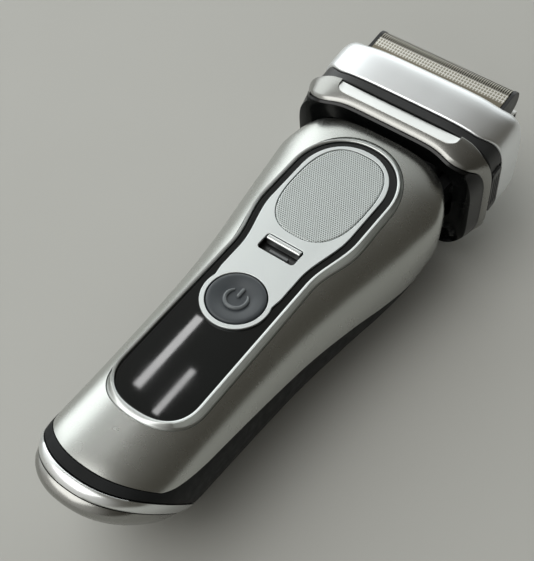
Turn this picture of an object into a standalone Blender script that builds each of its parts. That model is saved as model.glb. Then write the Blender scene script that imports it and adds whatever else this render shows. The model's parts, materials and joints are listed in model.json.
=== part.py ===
"""Foil shaver: a hand-held electric shaver lying on its back.

Metres, +Z up. X runs across the shaver, +Y points to the shaving head and the
control face looks up along +Z. The origin is the bottom centre of the whole.
"""
import math

import bmesh
import bpy
from mathutils import Matrix, Vector

# ---------------------------------------------------------------- dimensions
FRONT_Z = 0.0365          # height of the flat control face above the rest plane
WALL = 0.0018             # wall of the handle shells
GAP = 0.0003              # clearance left between touching pieces

# handle sections: y, half width, depth down to the widest line, depth below it
HANDLE = (
    (-0.0815, 0.0160, 0.0115, 0.0185),
    (-0.0710, 0.0168, 0.0120, 0.0238),
    (-0.0500, 0.01735, 0.0138, 0.0233),
    (-0.0200, 0.01875, 0.0163, 0.0208),
    (0.0000, 0.02105, 0.0177, 0.0194),
    (0.0120, 0.0230, 0.0178, 0.0193),
    (0.0240, 0.0244, 0.0165, 0.0206),
    (0.0360, 0.0248, 0.0130, 0.0240),
    (0.0445, 0.0236, 0.0112, 0.0248),
)
FRONT_POWER = 2.6         # superellipse powers of the upper and lower half
BACK_POWER = 2.2
SHOULDER_Y = 0.0445       # top edge of the handle on the centre line
SHOULDER_DROP = 0.0074    # how far that edge falls at the sides
SHOULDER_POWER = 5.0
BASE_SLANT = 0.60         # the bottom edges run back this much per unit of depth
SLANT_FROM = -0.0160      # the slant sets in here and is full at SLANT_FULL
SLANT_FULL = -0.0660
BASE_BOW = 0.0042         # how far the bottom edges run back at the sides

SHELL_END_Y = -0.0717     # lower edge of the metal front shell
BAND_END_Y = -0.0745      # lower edge of the rubber band
RING_END_Y = -0.0780      # lower edge of the bright base ring
BASE_Y = -0.0828          # front end of the base cap

# control inlay
INLAY_BOTTOM = -0.0548
INLAY_TOP = 0.0390
INLAY_NARROW = 0.0104     # half width of the lower part
INLAY_WIDE = 0.0134       # half width round the grip pad
NECK_Y = (-0.0060, 0.0110)      # the inlay widens between these
INLAY_STRAIGHT = (-0.0458, 0.0240)  # its round ends start here
BUTTON_Y = -0.0190
BUTTON_RADIUS = 0.0071
BUTTON_TRAVEL = 0.0007
PLATE_RING = 0.0086       # radius of the plate round the button
PLATE_NECK_Y = -0.0150    # the plate's sides leave the button's ring here
PLATE_MARGIN = 0.0018     # black margin between the plate and the bezel
BEZEL_FLOOR = 0.0328      # underside of the bezel and of the window's seat
SLOT_Y = -0.0014
SLOT_SIZE = (0.0105, 0.0051)
LOCK_TRAVEL = 0.0028
PAD_CENTRE_Y = 0.0198
PAD_HALF = (0.0104, 0.0158)
PAD_POWER = 2.6

# shaving head
HEAD_Z = 0.0224           # middle of the head's depth
HEAD_HALF = (0.0285, 0.0187)
HEAD_POWER = 4.5
PIVOT_Y = 0.0515
HEAD_LEAN = math.radians(6)  # the head leans forward about its pivot
FRAME_Y = (0.0479, 0.0543)
BAND_Y = (0.0546, 0.0575)
COVER_Y = (0.0578, 0.0698)
CHEEK_RISE = 0.0022       # the cover's ends stand this much higher
CHEEK_X = (0.0190, 0.0260)
CASSETTE_FLOOR = 0.0628   # level the foil cradles rest at
PIN_TOP = 0.0658
FOIL_TOP = 0.0800
FOIL_HALF_X = 0.0210
FOIL_HALF_Z = 0.0038
FOIL_OFFSET = 0.0100      # distance of each foil from the head's middle
TRIM_OFFSET = 0.0021      # distance of the centre trimmer from the middle

CENTRE_SHIFT = -0.0010     # moves the finished shaver onto its origin

RING_POINTS = 40          # points round a handle or head section

# ---------------------------------------------------------------- scene setup
for old in list(bpy.data.objects):
    bpy.data.objects.remove(old, do_unlink=True)

PARTS = bpy.data.collections.new("foil_shaver")
CUTTERS = bpy.data.collections.new("cutters")
bpy.context.scene.collection.children.link(PARTS)
bpy.context.scene.collection.children.link(CUTTERS)


def material(name, colour, roughness, metallic):
    mat = bpy.data.materials.new(name)
    mat.use_nodes = True
    shader = mat.node_tree.nodes["Principled BSDF"]
    shader.inputs["Base Color"].default_value = (*colour, 1.0)
    shader.inputs["Roughness"].default_value = roughness
    shader.inputs["Metallic"].default_value = metallic
    return mat


SATIN = material("satin_metal", (0.42, 0.43, 0.42), 0.32, 1.0)
BRIGHT = material("bright_metal", (0.78, 0.80, 0.80), 0.22, 1.0)
RUBBER = material("black_rubber", (0.015, 0.016, 0.017), 0.65, 0.0)
GLOSS = material("gloss_black", (0.008, 0.008, 0.009), 0.08, 0.0)
BUTTON = material("button_grey", (0.045, 0.05, 0.055), 0.45, 0.0)
FOIL = material("foil_steel", (0.70, 0.66, 0.56), 0.25, 1.0)
STEEL = material("blade_steel", (0.50, 0.50, 0.50), 0.30, 1.0)
PLASTIC = material("grey_plastic", (0.20, 0.21, 0.22), 0.50, 0.0)
BOARD = material("board_green", (0.02, 0.16, 0.06), 0.45, 0.0)
COPPER = material("copper", (0.72, 0.34, 0.16), 0.35, 1.0)
CELL = material("cell_wrap", (0.05, 0.20, 0.42), 0.40, 0.0)
GOLD = material("contact_gold", (0.85, 0.62, 0.25), 0.25, 1.0)


# ---------------------------------------------------------------- mesh helpers
def link(name, mesh, mat, collection=PARTS):
    obj = bpy.data.objects.new(name, mesh)
    collection.objects.link(obj)
    if mat is not None:
        mesh.materials.append(mat)
    return obj


def smooth(obj, angle=35.0):
    obj.data.shade_smooth()
    obj.data.set_sharp_from_angle(angle=math.radians(angle))


def bevel(obj, width, segments=2):
    mod = obj.modifiers.new("edges", "BEVEL")
    mod.width = width
    mod.segments = segments
    mod.limit_method = "ANGLE"
    mod.angle_limit = math.radians(40)


def block(name, size, centre, mat, edge=0.0, collection=PARTS):
    bm = bmesh.new()
    bmesh.ops.create_cube(bm, size=1.0)
    bmesh.ops.scale(bm, vec=Vector(size), verts=bm.verts)
    mesh = bpy.data.meshes.new(name)
    bm.to_mesh(mesh)
    bm.free()
    obj = link(name, mesh, mat, collection)
    obj.location = centre
    if edge:
        bevel(obj, edge)
    return obj


AXIS_TURN = {
    "X": (0.0, math.radians(90), 0.0),
    "Y": (math.radians(-90), 0.0, 0.0),
    "Z": (0.0, 0.0, 0.0),
}


def rod(name, radius, length, centre, axis, mat, sides=20, collection=PARTS):
    bm = bmesh.new()
    bmesh.ops.create_cone(
        bm, cap_ends=True, segments=sides, radius1=radius, radius2=radius, depth=length)
    mesh = bpy.data.meshes.new(name)
    bm.to_mesh(mesh)
    bm.free()
    obj = link(name, mesh, mat, collection)
    obj.location = centre
    obj.rotation_euler = AXIS_TURN[axis]
    smooth(obj)
    return obj


def boolean(obj, tool, operation):
    mod = obj.modifiers.new(tool.name, "BOOLEAN")
    mod.operation = operation
    mod.object = tool


def hide_tool(tool):
    tool.hide_render = True
    tool.display_type = "WIRE"
    return tool


def cut_box(obj, size, centre):
    tool = hide_tool(block("cut_" + obj.name, size, centre, None, collection=CUTTERS))
    boolean(obj, tool, "DIFFERENCE")
    return tool


def cut_rod(obj, radius, length, centre, axis, sides=24):
    tool = rod("bore_" + obj.name, radius, length, centre, axis, None, sides, CUTTERS)
    boolean(obj, hide_tool(tool), "DIFFERENCE")
    return tool


def join_box(obj, size, centre):
    tool = block("add_" + obj.name, size, centre, None, collection=CUTTERS)
    boolean(obj, hide_tool(tool), "UNION")


def join_rod(obj, radius, length, centre, axis, sides=16):
    tool = rod("boss_" + obj.name, radius, length, centre, axis, None, sides, CUTTERS)
    boolean(obj, hide_tool(tool), "UNION")


def loft(name, rings, mat, closed=False, collection=PARTS):
    """Skin a list of equal rings; closed joins the last ring to the first."""
    bm = bmesh.new()
    rows = [[bm.verts.new(p) for p in ring] for ring in rings]
    count = len(rings[0])
    pairs = list(zip(rows, rows[1:]))
    if closed:
        pairs.append((rows[-1], rows[0]))
    for low, high in pairs:
        for i in range(count):
            j = (i + 1) % count
            bm.faces.new((low[i], low[j], high[j], high[i]))
    if not closed:
        bm.faces.new(list(reversed(rows[0])))
        bm.faces.new(rows[-1])
    bmesh.ops.recalc_face_normals(bm, faces=bm.faces)
    mesh = bpy.data.meshes.new(name)
    bm.to_mesh(mesh)
    bm.free()
    obj = link(name, mesh, mat, collection)
    smooth(obj)
    return obj


def prism(name, outline, low, high, mat, axis="Z", collection=PARTS):
    """Extrude a flat closed outline between two levels of one axis."""
    def place(u, v, w):
        return {"X": (w, u, v), "Y": (u, w, v), "Z": (u, v, w)}[axis]
    rings = [[place(u, v, w) for u, v in outline] for w in (low, high)]
    return loft(name, rings, mat, collection=collection)


def rounded_box_outline(half_u, half_v, radius, centre=(0.0, 0.0), steps=4):
    points = []
    for quarter, (su, sv) in enumerate(((1, 1), (-1, 1), (-1, -1), (1, -1))):
        for k in range(steps + 1):
            angle = math.radians(90) * (quarter + k / steps)
            u = su * (half_u - radius) + radius * math.cos(angle)
            v = sv * (half_v - radius) + radius * math.sin(angle)
            points.append((centre[0] + u, centre[1] + v))
    return points


def ellipse_outline(half_u, half_v, centre, count=48, power=2.0):
    points = []
    for k in range(count):
        c, s = unit_curve(2 * math.pi * k / count, power)
        points.append((centre[0] + half_u * c, centre[1] + half_v * s))
    return points


# ---------------------------------------------------------------- form helpers
def unit_curve(angle, power):
    c, s = math.cos(angle), math.sin(angle)
    return (math.copysign(abs(c) ** (2 / power), c), math.copysign(abs(s) ** (2 / power), s))


def blend(table, y, column):
    """Smooth curve through one column of a table of stations."""
    ys = [row[0] for row in table]
    vs = [row[column] for row in table]
    y = min(max(y, ys[0]), ys[-1])
    slopes = [(vs[i + 1] - vs[i]) / (ys[i + 1] - ys[i]) for i in range(len(ys) - 1)]
    tangents = [slopes[0]]
    for left, right in zip(slopes, slopes[1:]):
        tangents.append(2 * left * right / (left + right) if left * right > 0 else 0.0)
    tangents.append(slopes[-1])
    i = max(k for k in range(len(ys) - 1) if ys[k] <= y)
    span = ys[i + 1] - ys[i]
    t = (y - ys[i]) / span
    return ((1 + 2 * t) * (1 - t) ** 2 * vs[i] + t * (1 - t) ** 2 * span * tangents[i]
            + t * t * (3 - 2 * t) * vs[i + 1] - t * t * (1 - t) * span * tangents[i + 1])


def smooth_step(value, start, end):
    t = min(max((value - start) / (end - start), 0.0), 1.0)
    return t * t * (3 - 2 * t)


def shoulder_drop(y, across):
    """Drop of a section's points, so that the top edge is an arc."""
    top = min(max((y - 0.014) / 0.0305, 0.0), 1.1)
    return SHOULDER_DROP * top ** 2 * abs(across) ** SHOULDER_POWER


def base_bow(y, across):
    """Rise of a section's points, so that the bottom edge is an arc."""
    amount = BASE_BOW * smooth_step(y, -0.0420, -0.0700) + 0.10 * max(0.0, SHELL_END_Y - y)
    return amount * abs(across) ** 2.2


def section_point(y, angle, inset):
    half = blend(HANDLE, y, 1)
    above = blend(HANDLE, y, 2)
    below = blend(HANDLE, y, 3)
    c, s = unit_curve(angle, FRONT_POWER if math.sin(angle) > 0 else BACK_POWER)
    z = FRONT_Z - above + (above - inset if s > 0 else below - inset) * s
    return ((half - inset) * c, max(z, inset), half)


def handle_point(y, angle, inset=0.0):
    """Point of the handle's skin; the lower sections lean back with the base."""
    slant = BASE_SLANT * smooth_step(y, SLANT_FROM, SLANT_FULL)
    along = y
    for _ in range(6):
        x, z, half = section_point(along, angle, inset)
        along = y + slant * (FRONT_Z - z) + base_bow(y, x / half)
    return (x, along - shoulder_drop(y, x / half), z)


def handle_ring(y, inset=0.0, count=RING_POINTS):
    return [handle_point(y, 2 * math.pi * k / count, inset) for k in range(count)]


def handle_top_z(x, y):
    """Height of the handle's upper surface over a point of the plan."""
    half = blend(HANDLE, y, 1)
    above = blend(HANDLE, y, 2)
    return FRONT_Z - above + above * (1 - min(abs(x / half), 1.0) ** FRONT_POWER) ** (1 / FRONT_POWER)


def head_ring(y, inset=0.0, count=RING_POINTS):
    points = []
    for k in range(count):
        c, s = unit_curve(2 * math.pi * k / count, HEAD_POWER)
        x = (HEAD_HALF[0] - inset) * c
        points.append((x, y, HEAD_Z + (HEAD_HALF[1] - inset) * s))
    return points


def inlay_half_width(y):
    """Half width of the control inlay: narrow below, wide round the pad."""
    widening = smooth_step(y, NECK_Y[0], NECK_Y[1])
    return INLAY_NARROW + (INLAY_WIDE - INLAY_NARROW) * widening


def inlay_outline(offset=0.0, lower_extra=0.0, steps=9):
    """Closed outline of the inlay, grown by offset, more at the lower end."""
    low_start, top_start = INLAY_STRAIGHT
    right = []
    low_half = low_start - INLAY_BOTTOM + offset + lower_extra
    for k in range(steps + 1):
        c, s = unit_curve(math.radians(-90 + 90 * k / steps), 2.4)
        right.append(((inlay_half_width(low_start) + offset) * c, low_start + low_half * s))
    for k in range(1, 12):
        y = low_start + (top_start - low_start) * k / 12
        right.append((inlay_half_width(y) + offset, y))
    top_half = INLAY_TOP - top_start + offset
    for k in range(steps + 1):
        c, s = unit_curve(math.radians(90 * k / steps), 2.1)
        right.append(((INLAY_WIDE + offset) * c, top_start + top_half * s))
    left = [(-x, y) for x, y in reversed(right) if x > 1e-6]
    return right + left


# ---------------------------------------------------------------- handle shells
# side-view line between the metal front and the rubber back, and its lower corner
SEAM = ((-0.0520, 0.0270), (-0.0350, 0.0250), (-0.0100, 0.0216), (0.0100, 0.0177),
        (0.0260, 0.0142), (0.0380, 0.0112), (0.0600, 0.0085))
CORNER = ((-0.0688, 0.0344), (-0.0648, 0.0293))


def seam_tool(name, grow):
    """Side-view prism above the seam, with a soft corner at the lower end."""
    start, middle = ((y - grow, z - grow) for y, z in CORNER)
    end = (SEAM[0][0], SEAM[0][1] - grow)
    outline = [(-0.0780, 0.0450), (-0.0780, CORNER[0][1] - grow)]
    for k in range(9):
        t = k / 8
        outline.append(tuple((1 - t) ** 2 * start[i] + 2 * t * (1 - t) * middle[i] + t * t * end[i]
                             for i in range(2)))
    outline += [(y, z - grow) for y, z in SEAM[1:]] + [(0.0600, 0.0450)]
    return hide_tool(prism(name, outline, -0.05, 0.05, None, "X", CUTTERS))


def shell_rows(low, high, rows=15):
    return [low + (high - low) * k / (rows - 1) for k in range(rows)]


def handle_skin(name, mat, low, high):
    ys = shell_rows(low, high)
    outer = [handle_ring(y) for y in ys]
    inner = [handle_ring(y, WALL) for y in reversed(ys)]
    return loft(name, outer + inner, mat, closed=True)


def front_housing():
    shell = handle_skin("front_housing", SATIN, SHELL_END_Y, SHOULDER_Y)
    boolean(shell, seam_tool("front_share", 0.0), "INTERSECT")
    opening = prism("inlay_opening", inlay_outline(0.0019, 0.0004), 0.02, 0.05, None, "Z", CUTTERS)
    boolean(shell, hide_tool(opening), "DIFFERENCE")


def rear_housing():
    """Rubber rear shell; it also wraps round the lower end as a band."""
    shell = handle_skin("rear_housing", RUBBER, BAND_END_Y, SHOULDER_Y)
    rows = shell_rows(SHELL_END_Y - GAP, SHOULDER_Y) + [SHOULDER_Y + 0.0020]
    rings = [handle_ring(rows[0], 0.0080), handle_ring(rows[0], 0.0030)]
    rings += [handle_ring(y, -0.0010) for y in rows]
    rings += [handle_ring(rows[-1], 0.0030), handle_ring(rows[-1], 0.0080)]
    share = loft("front_room", rings, None, collection=CUTTERS)
    boolean(share, seam_tool("rear_share", GAP), "INTERSECT")
    boolean(shell, hide_tool(share), "DIFFERENCE")
    cut_box(shell, (0.0226, 0.0420, 0.0100), (0.0, 0.0250, 0.0))


def base_ring():
    profile = ((BAND_END_Y - GAP, 0.0001), (-0.0762, 0.0004), (RING_END_Y, 0.0014),
               (RING_END_Y, 0.0040), (BAND_END_Y - GAP, 0.0034))
    rings = [handle_ring(y, inset) for y, inset in profile]
    loft("base_ring", rings, BRIGHT, closed=True)


def base_cap():
    """Slanted end cap with a flat face and a pocket for the charging plug."""
    top = RING_END_Y - GAP
    profile = ((top, 0.0108), (top, 0.0066), (top, 0.0018), (-0.0800, 0.0024), (-0.0817, 0.0042),
               (-0.0827, 0.0062), (BASE_Y, 0.0086), (BASE_Y, 0.0108))
    rings = [handle_ring(y, inset) for y, inset in profile]
    cap = loft("base_cap", rings, SATIN)
    lean_back(cut_box(cap, (0.0094, 0.0090, 0.0058), socket_spot(0.0)))


SOCKET_Z = 0.0215         # height of the charging socket on the slanted face


def socket_spot(depth):
    """Point behind the middle of the socket, depth measured square to the face."""
    lean = math.hypot(1.0, BASE_SLANT)
    face_y = BASE_Y + BASE_SLANT * (FRONT_Z - SOCKET_Z)
    return (0.0, face_y + depth / lean, SOCKET_Z + depth * BASE_SLANT / lean)


def lean_back(obj):
    """Turn a piece of the base square to the slanted face."""
    obj.rotation_euler = (obj.rotation_euler[0] + math.atan(BASE_SLANT), 0.0, 0.0)
    return obj


def charge_contacts():
    y, z = socket_spot(0.0065)[1:]
    for side, x in (("left", -0.0024), ("right", 0.0024)):
        lean_back(rod("charge_contact_" + side, 0.0008, 0.0030, (x, y, z), "Y", GOLD, 12))


def charge_socket():
    spot = socket_spot(0.0060)
    body = lean_back(block("charge_socket", (0.0140, 0.0020, 0.0094), spot, PLASTIC))
    for x in (-0.0024, 0.0024):
        lean_back(cut_rod(body, 0.0011, 0.010, (x, spot[1], spot[2]), "Y", 12))


# ---------------------------------------------------------------- control face
def window_bezel():
    inner = inlay_outline(GAP)
    outer = inlay_outline(0.0016, 0.0003)
    ledge, crest, edge = [], [], []
    for (xi, yi), (xo, yo) in zip(inner, outer):
        ledge.append((xi, yi, FRONT_Z - 0.0001))
        crest.append((xi + (xo - xi) * 0.45, yi + (yo - yi) * 0.45, FRONT_Z - 0.0003))
        edge.append((xo, yo, min(handle_top_z(xo, yo) + 0.0001, FRONT_Z - 0.0004)))
    floor = [(x, y, BEZEL_FLOOR) for x, y, z in edge]
    under = [(x, y, BEZEL_FLOOR) for x, y, z in ledge]
    loft("window_bezel", [ledge, crest, edge, floor, under], BRIGHT, closed=True)


def display_window():
    plate = prism("display_window", inlay_outline(0.0), 0.0347, FRONT_Z - 0.0006, GLOSS)
    cut_rod(plate, BUTTON_RADIUS + GAP, 0.02, (0.0, BUTTON_Y, 0.035), "Z", 32)
    cut_box(plate, (SLOT_SIZE[0], SLOT_SIZE[1], 0.02), (0.0, SLOT_Y, 0.035))


def control_plate():
    """Metal plate round the pad, slot and button, with a round lower end."""
    right = []
    for k in range(13):
        angle = math.radians(-90 + 108 * k / 12)
        right.append((PLATE_RING * math.cos(angle), BUTTON_Y + PLATE_RING * math.sin(angle)))
    for k in range(1, 9):
        y = PLATE_NECK_Y + (INLAY_STRAIGHT[1] - PLATE_NECK_Y) * k / 8
        right.append((inlay_half_width(y) - PLATE_MARGIN, y))
    top_half = INLAY_TOP - INLAY_STRAIGHT[1] - PLATE_MARGIN
    for k in range(1, 9):
        c, s = unit_curve(math.radians(90 * k / 8), 2.1)
        right.append(((INLAY_WIDE - PLATE_MARGIN) * c, INLAY_STRAIGHT[1] + top_half * s))
    outline = right + [(-x, y) for x, y in reversed(right) if x > 1e-6]
    plate = prism("control_plate", outline, FRONT_Z - 0.0003, FRONT_Z + 0.0002, BRIGHT)
    cut_rod(plate, BUTTON_RADIUS + GAP, 0.02, (0.0, BUTTON_Y, 0.035), "Z", 32)
    slot = rounded_box_outline(SLOT_SIZE[0] / 2, SLOT_SIZE[1] / 2, 0.0008, (0.0, SLOT_Y))
    boolean(plate, hide_tool(prism("plate_slot", slot, 0.03, 0.04, None, "Z", CUTTERS)), "DIFFERENCE")
    pad = ellipse_outline(PAD_HALF[0] + GAP, PAD_HALF[1] + GAP, (0.0, PAD_CENTRE_Y), 32, PAD_POWER)
    boolean(plate, hide_tool(prism("plate_pad", pad, 0.03, 0.04, None, "Z", CUTTERS)), "DIFFERENCE")


def grip_pad():
    outline = ellipse_outline(PAD_HALF[0], PAD_HALF[1], (0.0, PAD_CENTRE_Y), 32, PAD_POWER)
    prism("grip_pad", outline, FRONT_Z - 0.0003, FRONT_Z + 0.0003, PLASTIC)


def power_button():
    top = FRONT_Z + 0.0004
    cap = rod("power_button", BUTTON_RADIUS, 0.0024, (0.0, BUTTON_Y, top - 0.0012), "Z", BUTTON, 28)
    bevel(cap, 0.0003)
    join_rod(cap, 0.0019, 0.0046, (0.0, BUTTON_Y, top - 0.0043), "Z")


def lock_slider():
    carrier = block("lock_slider", (0.0128, 0.0070, 0.0011), (0.0, SLOT_Y, 0.0336), GLOSS)
    bar_y = SLOT_Y + SLOT_SIZE[1] / 2 - 0.0010
    block("lock_slider_bar", (0.0096, 0.0014, 0.0024), (0.0, bar_y, 0.0357), BRIGHT, 0.0003)
    join_box(carrier, (0.0030, 0.0090, 0.0012), (0.0, SLOT_Y + 0.0050, 0.0330))


def lock_latch():
    block("lock_latch", (0.0040, 0.0290, 0.0016), (0.0, 0.0240, 0.0312), PLASTIC, 0.0003)


# ---------------------------------------------------------------- inside the handle
def chassis():
    """Skeleton that carries the cell, the board and the neck."""
    floor = block("chassis", (0.0220, 0.0950, 0.0014), (0.0, -0.0125, 0.0212), PLASTIC)
    join_box(floor, (0.0180, 0.0024, 0.0140), (0.0, -0.0588, 0.0190))
    join_box(floor, (0.0300, 0.0034, 0.0180), (0.0, 0.0335, 0.0195))
    join_box(floor, (0.0014, 0.0700, 0.0060), (-0.0103, -0.0230, 0.0190))
    join_box(floor, (0.0014, 0.0700, 0.0060), (0.0103, -0.0230, 0.0190))


def power_parts():
    cell = rod("battery_cell", 0.0070, 0.0490, (0.0, -0.0300, 0.0130), "Y", CELL, 20)
    bevel(cell, 0.0005)
    rod("battery_cap", 0.0028, 0.0012, (0.0, -0.0047, 0.0130), "Y", STEEL, 16)
    block("battery_tab_positive", (0.0050, 0.0003, 0.0080), (0.0, -0.0037, 0.0140), STEEL)
    block("battery_tab_negative", (0.0050, 0.0003, 0.0080), (0.0, -0.0550, 0.0140), STEEL)


def electronics():
    board = block("circuit_board", (0.0200, 0.0780, 0.0010), (0.0, -0.0150, 0.0258), BOARD)
    for x, y in ((-0.0080, 0.0205), (0.0080, 0.0205), (-0.0080, -0.0500), (0.0080, -0.0500)):
        cut_rod(board, 0.0012, 0.01, (x, y, 0.0258), "Z", 12)
    block("display_module", (0.0150, 0.0210, 0.0050), (0.0, -0.0420, 0.0316), PLASTIC, 0.0004)
    switch = block("tact_switch", (0.0060, 0.0060, 0.0020), (0.0, BUTTON_Y, 0.0276), STEEL)
    join_rod(switch, 0.0014, 0.0012, (0.0, BUTTON_Y, 0.0287), "Z")


def button_seal():
    """Rubber ring round the button's stem, under the window."""
    ring = rod("button_seal", 0.0060, 0.0009, (0.0, BUTTON_Y, 0.0329), "Z", RUBBER, 24)
    cut_rod(ring, 0.0024, 0.01, (0.0, BUTTON_Y, 0.0329), "Z", 20)


def chassis_screws():
    """Four board screws, each through the board into the chassis."""
    spots = {"front_left": (-0.0080, 0.0205), "front_right": (0.0080, 0.0205),
             "back_left": (-0.0080, -0.0500), "back_right": (0.0080, -0.0500)}
    for name, (x, y) in spots.items():
        screw = rod("board_screw_" + name, 0.0018, 0.0010, (x, y, 0.0271), "Z", STEEL, 14)
        join_rod(screw, 0.0008, 0.0042, (x, y, 0.0247), "Z", 10)
        cut_box(screw, (0.0022, 0.0005, 0.0008), (x, y, 0.0278))


# ---------------------------------------------------------------- neck
ARM_X = 0.0170            # middle of each yoke arm
ARM_SIZE = (0.0030, 0.0182, 0.0080)


def shoulder_deck():
    """Dark deck that closes the handle below the head."""
    low, high = SHOULDER_Y - 0.0031, SHOULDER_Y - 0.0018
    profile = ((low, 0.0090), (low, 0.0022), (high, 0.0022), (high, 0.0090))
    rings = [handle_ring(y, inset) for y, inset in profile]
    deck = loft("shoulder_deck", rings, RUBBER)
    cut_box(deck, (0.0226, 0.0200, 0.0100), (0.0, 0.0400, 0.0))
    cut_box(deck, (0.0048, 0.0200, 0.0026), (0.0, 0.0400, 0.0312))
    for x in (-ARM_X, ARM_X):
        cut_box(deck, (ARM_SIZE[0] + 0.0010, 0.0300, ARM_SIZE[2] + 0.0010), (x, 0.0400, HEAD_Z))


def neck_yoke():
    """Two arms from the chassis up into the head, bored for the pivot pins."""
    yoke = block("neck_yoke", (0.0376, 0.0018, 0.0080), (0.0, 0.0364, HEAD_Z), PLASTIC)
    for x in (-ARM_X, ARM_X):
        join_box(yoke, ARM_SIZE, (x, 0.0455, HEAD_Z))
        cut_rod(yoke, 0.0018, 0.0100, (x, PIVOT_Y, HEAD_Z), "X", 18)


def pivot_pins():
    for side, x in (("left", -0.0184), ("right", 0.0184)):
        rod("pivot_pin_" + side, 0.0015, 0.0076, (x, PIVOT_Y, HEAD_Z), "X", STEEL, 16)


# ---------------------------------------------------------------- head
def frame_edge(x):
    """Lower edge of the head frame: level, a shallow dip, then a notch."""
    t = min(abs(x) / HEAD_HALF[0], 1.0)
    dip = 0.0015 * math.exp(-((t - 0.70) / 0.16) ** 2)
    notch = 0.0040 / (1 + math.exp(-(t - 0.90) * 32))
    return FRAME_Y[0] - dip + notch


def frame_top(x):
    """Upper edge of the frame, lower under the release buttons."""
    return FRAME_Y[1] - 0.0012 * smooth_step(abs(x) / HEAD_HALF[0], 0.70, 0.95)


def cover_edge(x):
    """Lower edge of the cassette cover, higher over the release buttons."""
    return COVER_Y[0] + 0.0026 * smooth_step(abs(x) / HEAD_HALF[0], 0.70, 0.95)


def edge_ring(edge, inset, shift=0.0):
    """Section of the head whose points follow a curved edge."""
    return [(x, edge(x) + shift, z) for x, y, z in head_ring(0.0, inset)]


def cup_ring(y, inset):
    """Section of the cup's underside, which hangs lower at the two ears."""
    return [(x, level - 0.0032 * smooth_step(abs(x), 0.0190, 0.0265), z)
            for x, level, z in head_ring(y, inset)]


def head_cup():
    """Glossy bowl with rounded ears that carries motor and cassette."""
    rings = [cup_ring(y, inset) for y, inset in ((0.0480, 0.0080), (0.0481, 0.0056), (0.0484, 0.0032))]
    rings.append(edge_ring(frame_edge, 0.0013, -2 * GAP))
    rings.append(edge_ring(frame_edge, 0.0021, -2 * GAP))
    walls = ((0.0531, 0.0021), (0.0534, 0.0036), (0.0536, 0.0050), (0.0559, 0.0050), (0.0559, 0.0060))
    rings += [head_ring(y, inset) for y, inset in walls]
    rings += [cup_ring(y, inset) for y, inset in ((0.0513, 0.0060), (0.0498, 0.0064), (0.0496, 0.0080))]
    loft("head_cup", rings, GLOSS, closed=True)


def head_frame():
    """Metal surround of the cup with a chamfered strip under the band."""
    rings = [edge_ring(frame_edge, 0.0018), edge_ring(frame_edge, 0.0009)]
    rings += [edge_ring(frame_edge, 0.0002, 0.0006), head_ring(0.0520, 0.0)]
    rings += [edge_ring(frame_top, 0.0006), edge_ring(frame_top, 0.0018)]
    loft("head_frame", rings, SATIN, closed=True)


DRIVE_PINS = ((0.0, FOIL_OFFSET), (0.0070, TRIM_OFFSET), (0.0, -FOIL_OFFSET))


def head_membrane():
    """Rubber sheet over the motor with slots for the drive pins."""
    sheet = loft("head_membrane", [head_ring(y, 0.0052) for y in (0.0562, 0.0568)], RUBBER)
    for x, z in DRIVE_PINS:
        cut_box(sheet, (0.0062, 0.0100, 0.0034), (x, 0.0565, HEAD_Z + z))


def drive_pin(carriage, radius, x, offset):
    low = 0.0540
    join_rod(carriage, radius, PIN_TOP - low, (x, (PIN_TOP + low) / 2, HEAD_Z + offset), "Y", 12)


def motor():
    """Linear motor: fixed stator with a coil, two carriages that swing across."""
    block("motor_stator", (0.0290, 0.0034, 0.0190), (0.0, 0.0500, HEAD_Z), STEEL, 0.0004)
    coil = block("motor_coil", (0.0220, 0.0014, 0.0150), (0.0, 0.0525, HEAD_Z), COPPER)
    cut_box(coil, (0.0140, 0.0100, 0.0070), (0.0, 0.0525, HEAD_Z))
    for side, sign in (("front", 1.0), ("rear", -1.0)):
        spot = (0.0, 0.0541, HEAD_Z + sign * 0.0062)
        carriage = block("drive_carriage_" + side, (0.0240, 0.0012, 0.0102), spot, STEEL)
        drive_pin(carriage, 0.0011, 0.0, sign * FOIL_OFFSET)
        if sign > 0:
            drive_pin(carriage, 0.0008, DRIVE_PINS[1][0], TRIM_OFFSET)


def release_buttons():
    for side, sign in (("left", -1.0), ("right", 1.0)):
        outline = rounded_box_outline(0.0023, 0.0080, 0.0012, (0.0570, HEAD_Z), 3)
        button = prism("release_button_" + side, outline, sign * 0.0251, sign * 0.0280, GLOSS, "X")
        bevel(button, 0.0003)


# ---------------------------------------------------------------- cassette
def cassette_frame():
    """Black carrier of the cassette, notched for the release buttons."""
    inner = [head_ring(y, 0.0046) for y in (BAND_Y[1], BAND_Y[0])]
    rings = [head_ring(BAND_Y[0], 0.0010), edge_ring(cover_edge, 0.0010, -GAP)]
    rings.append(edge_ring(cover_edge, 0.0030, -GAP))
    frame = loft("cassette_frame", rings + inner, RUBBER, closed=True)
    for sign in (-1.0, 1.0):
        cut_box(frame, (0.0100, 0.0054, 0.0168), (sign * 0.0286, 0.0570, HEAD_Z))


def cheek_ring(y, inset):
    """Section of the cover, which stands higher beside the ends of the foils."""
    ring = []
    for x, level, z in head_ring(y, inset):
        across = smooth_step(abs(x), CHEEK_X[0], CHEEK_X[1])
        depth = 1.0 - ((z - HEAD_Z) / HEAD_HALF[1]) ** 4
        ring.append((x, level + CHEEK_RISE * across * depth * smooth_step(y, COVER_Y[0], COVER_Y[1]), z))
    return ring


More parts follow.
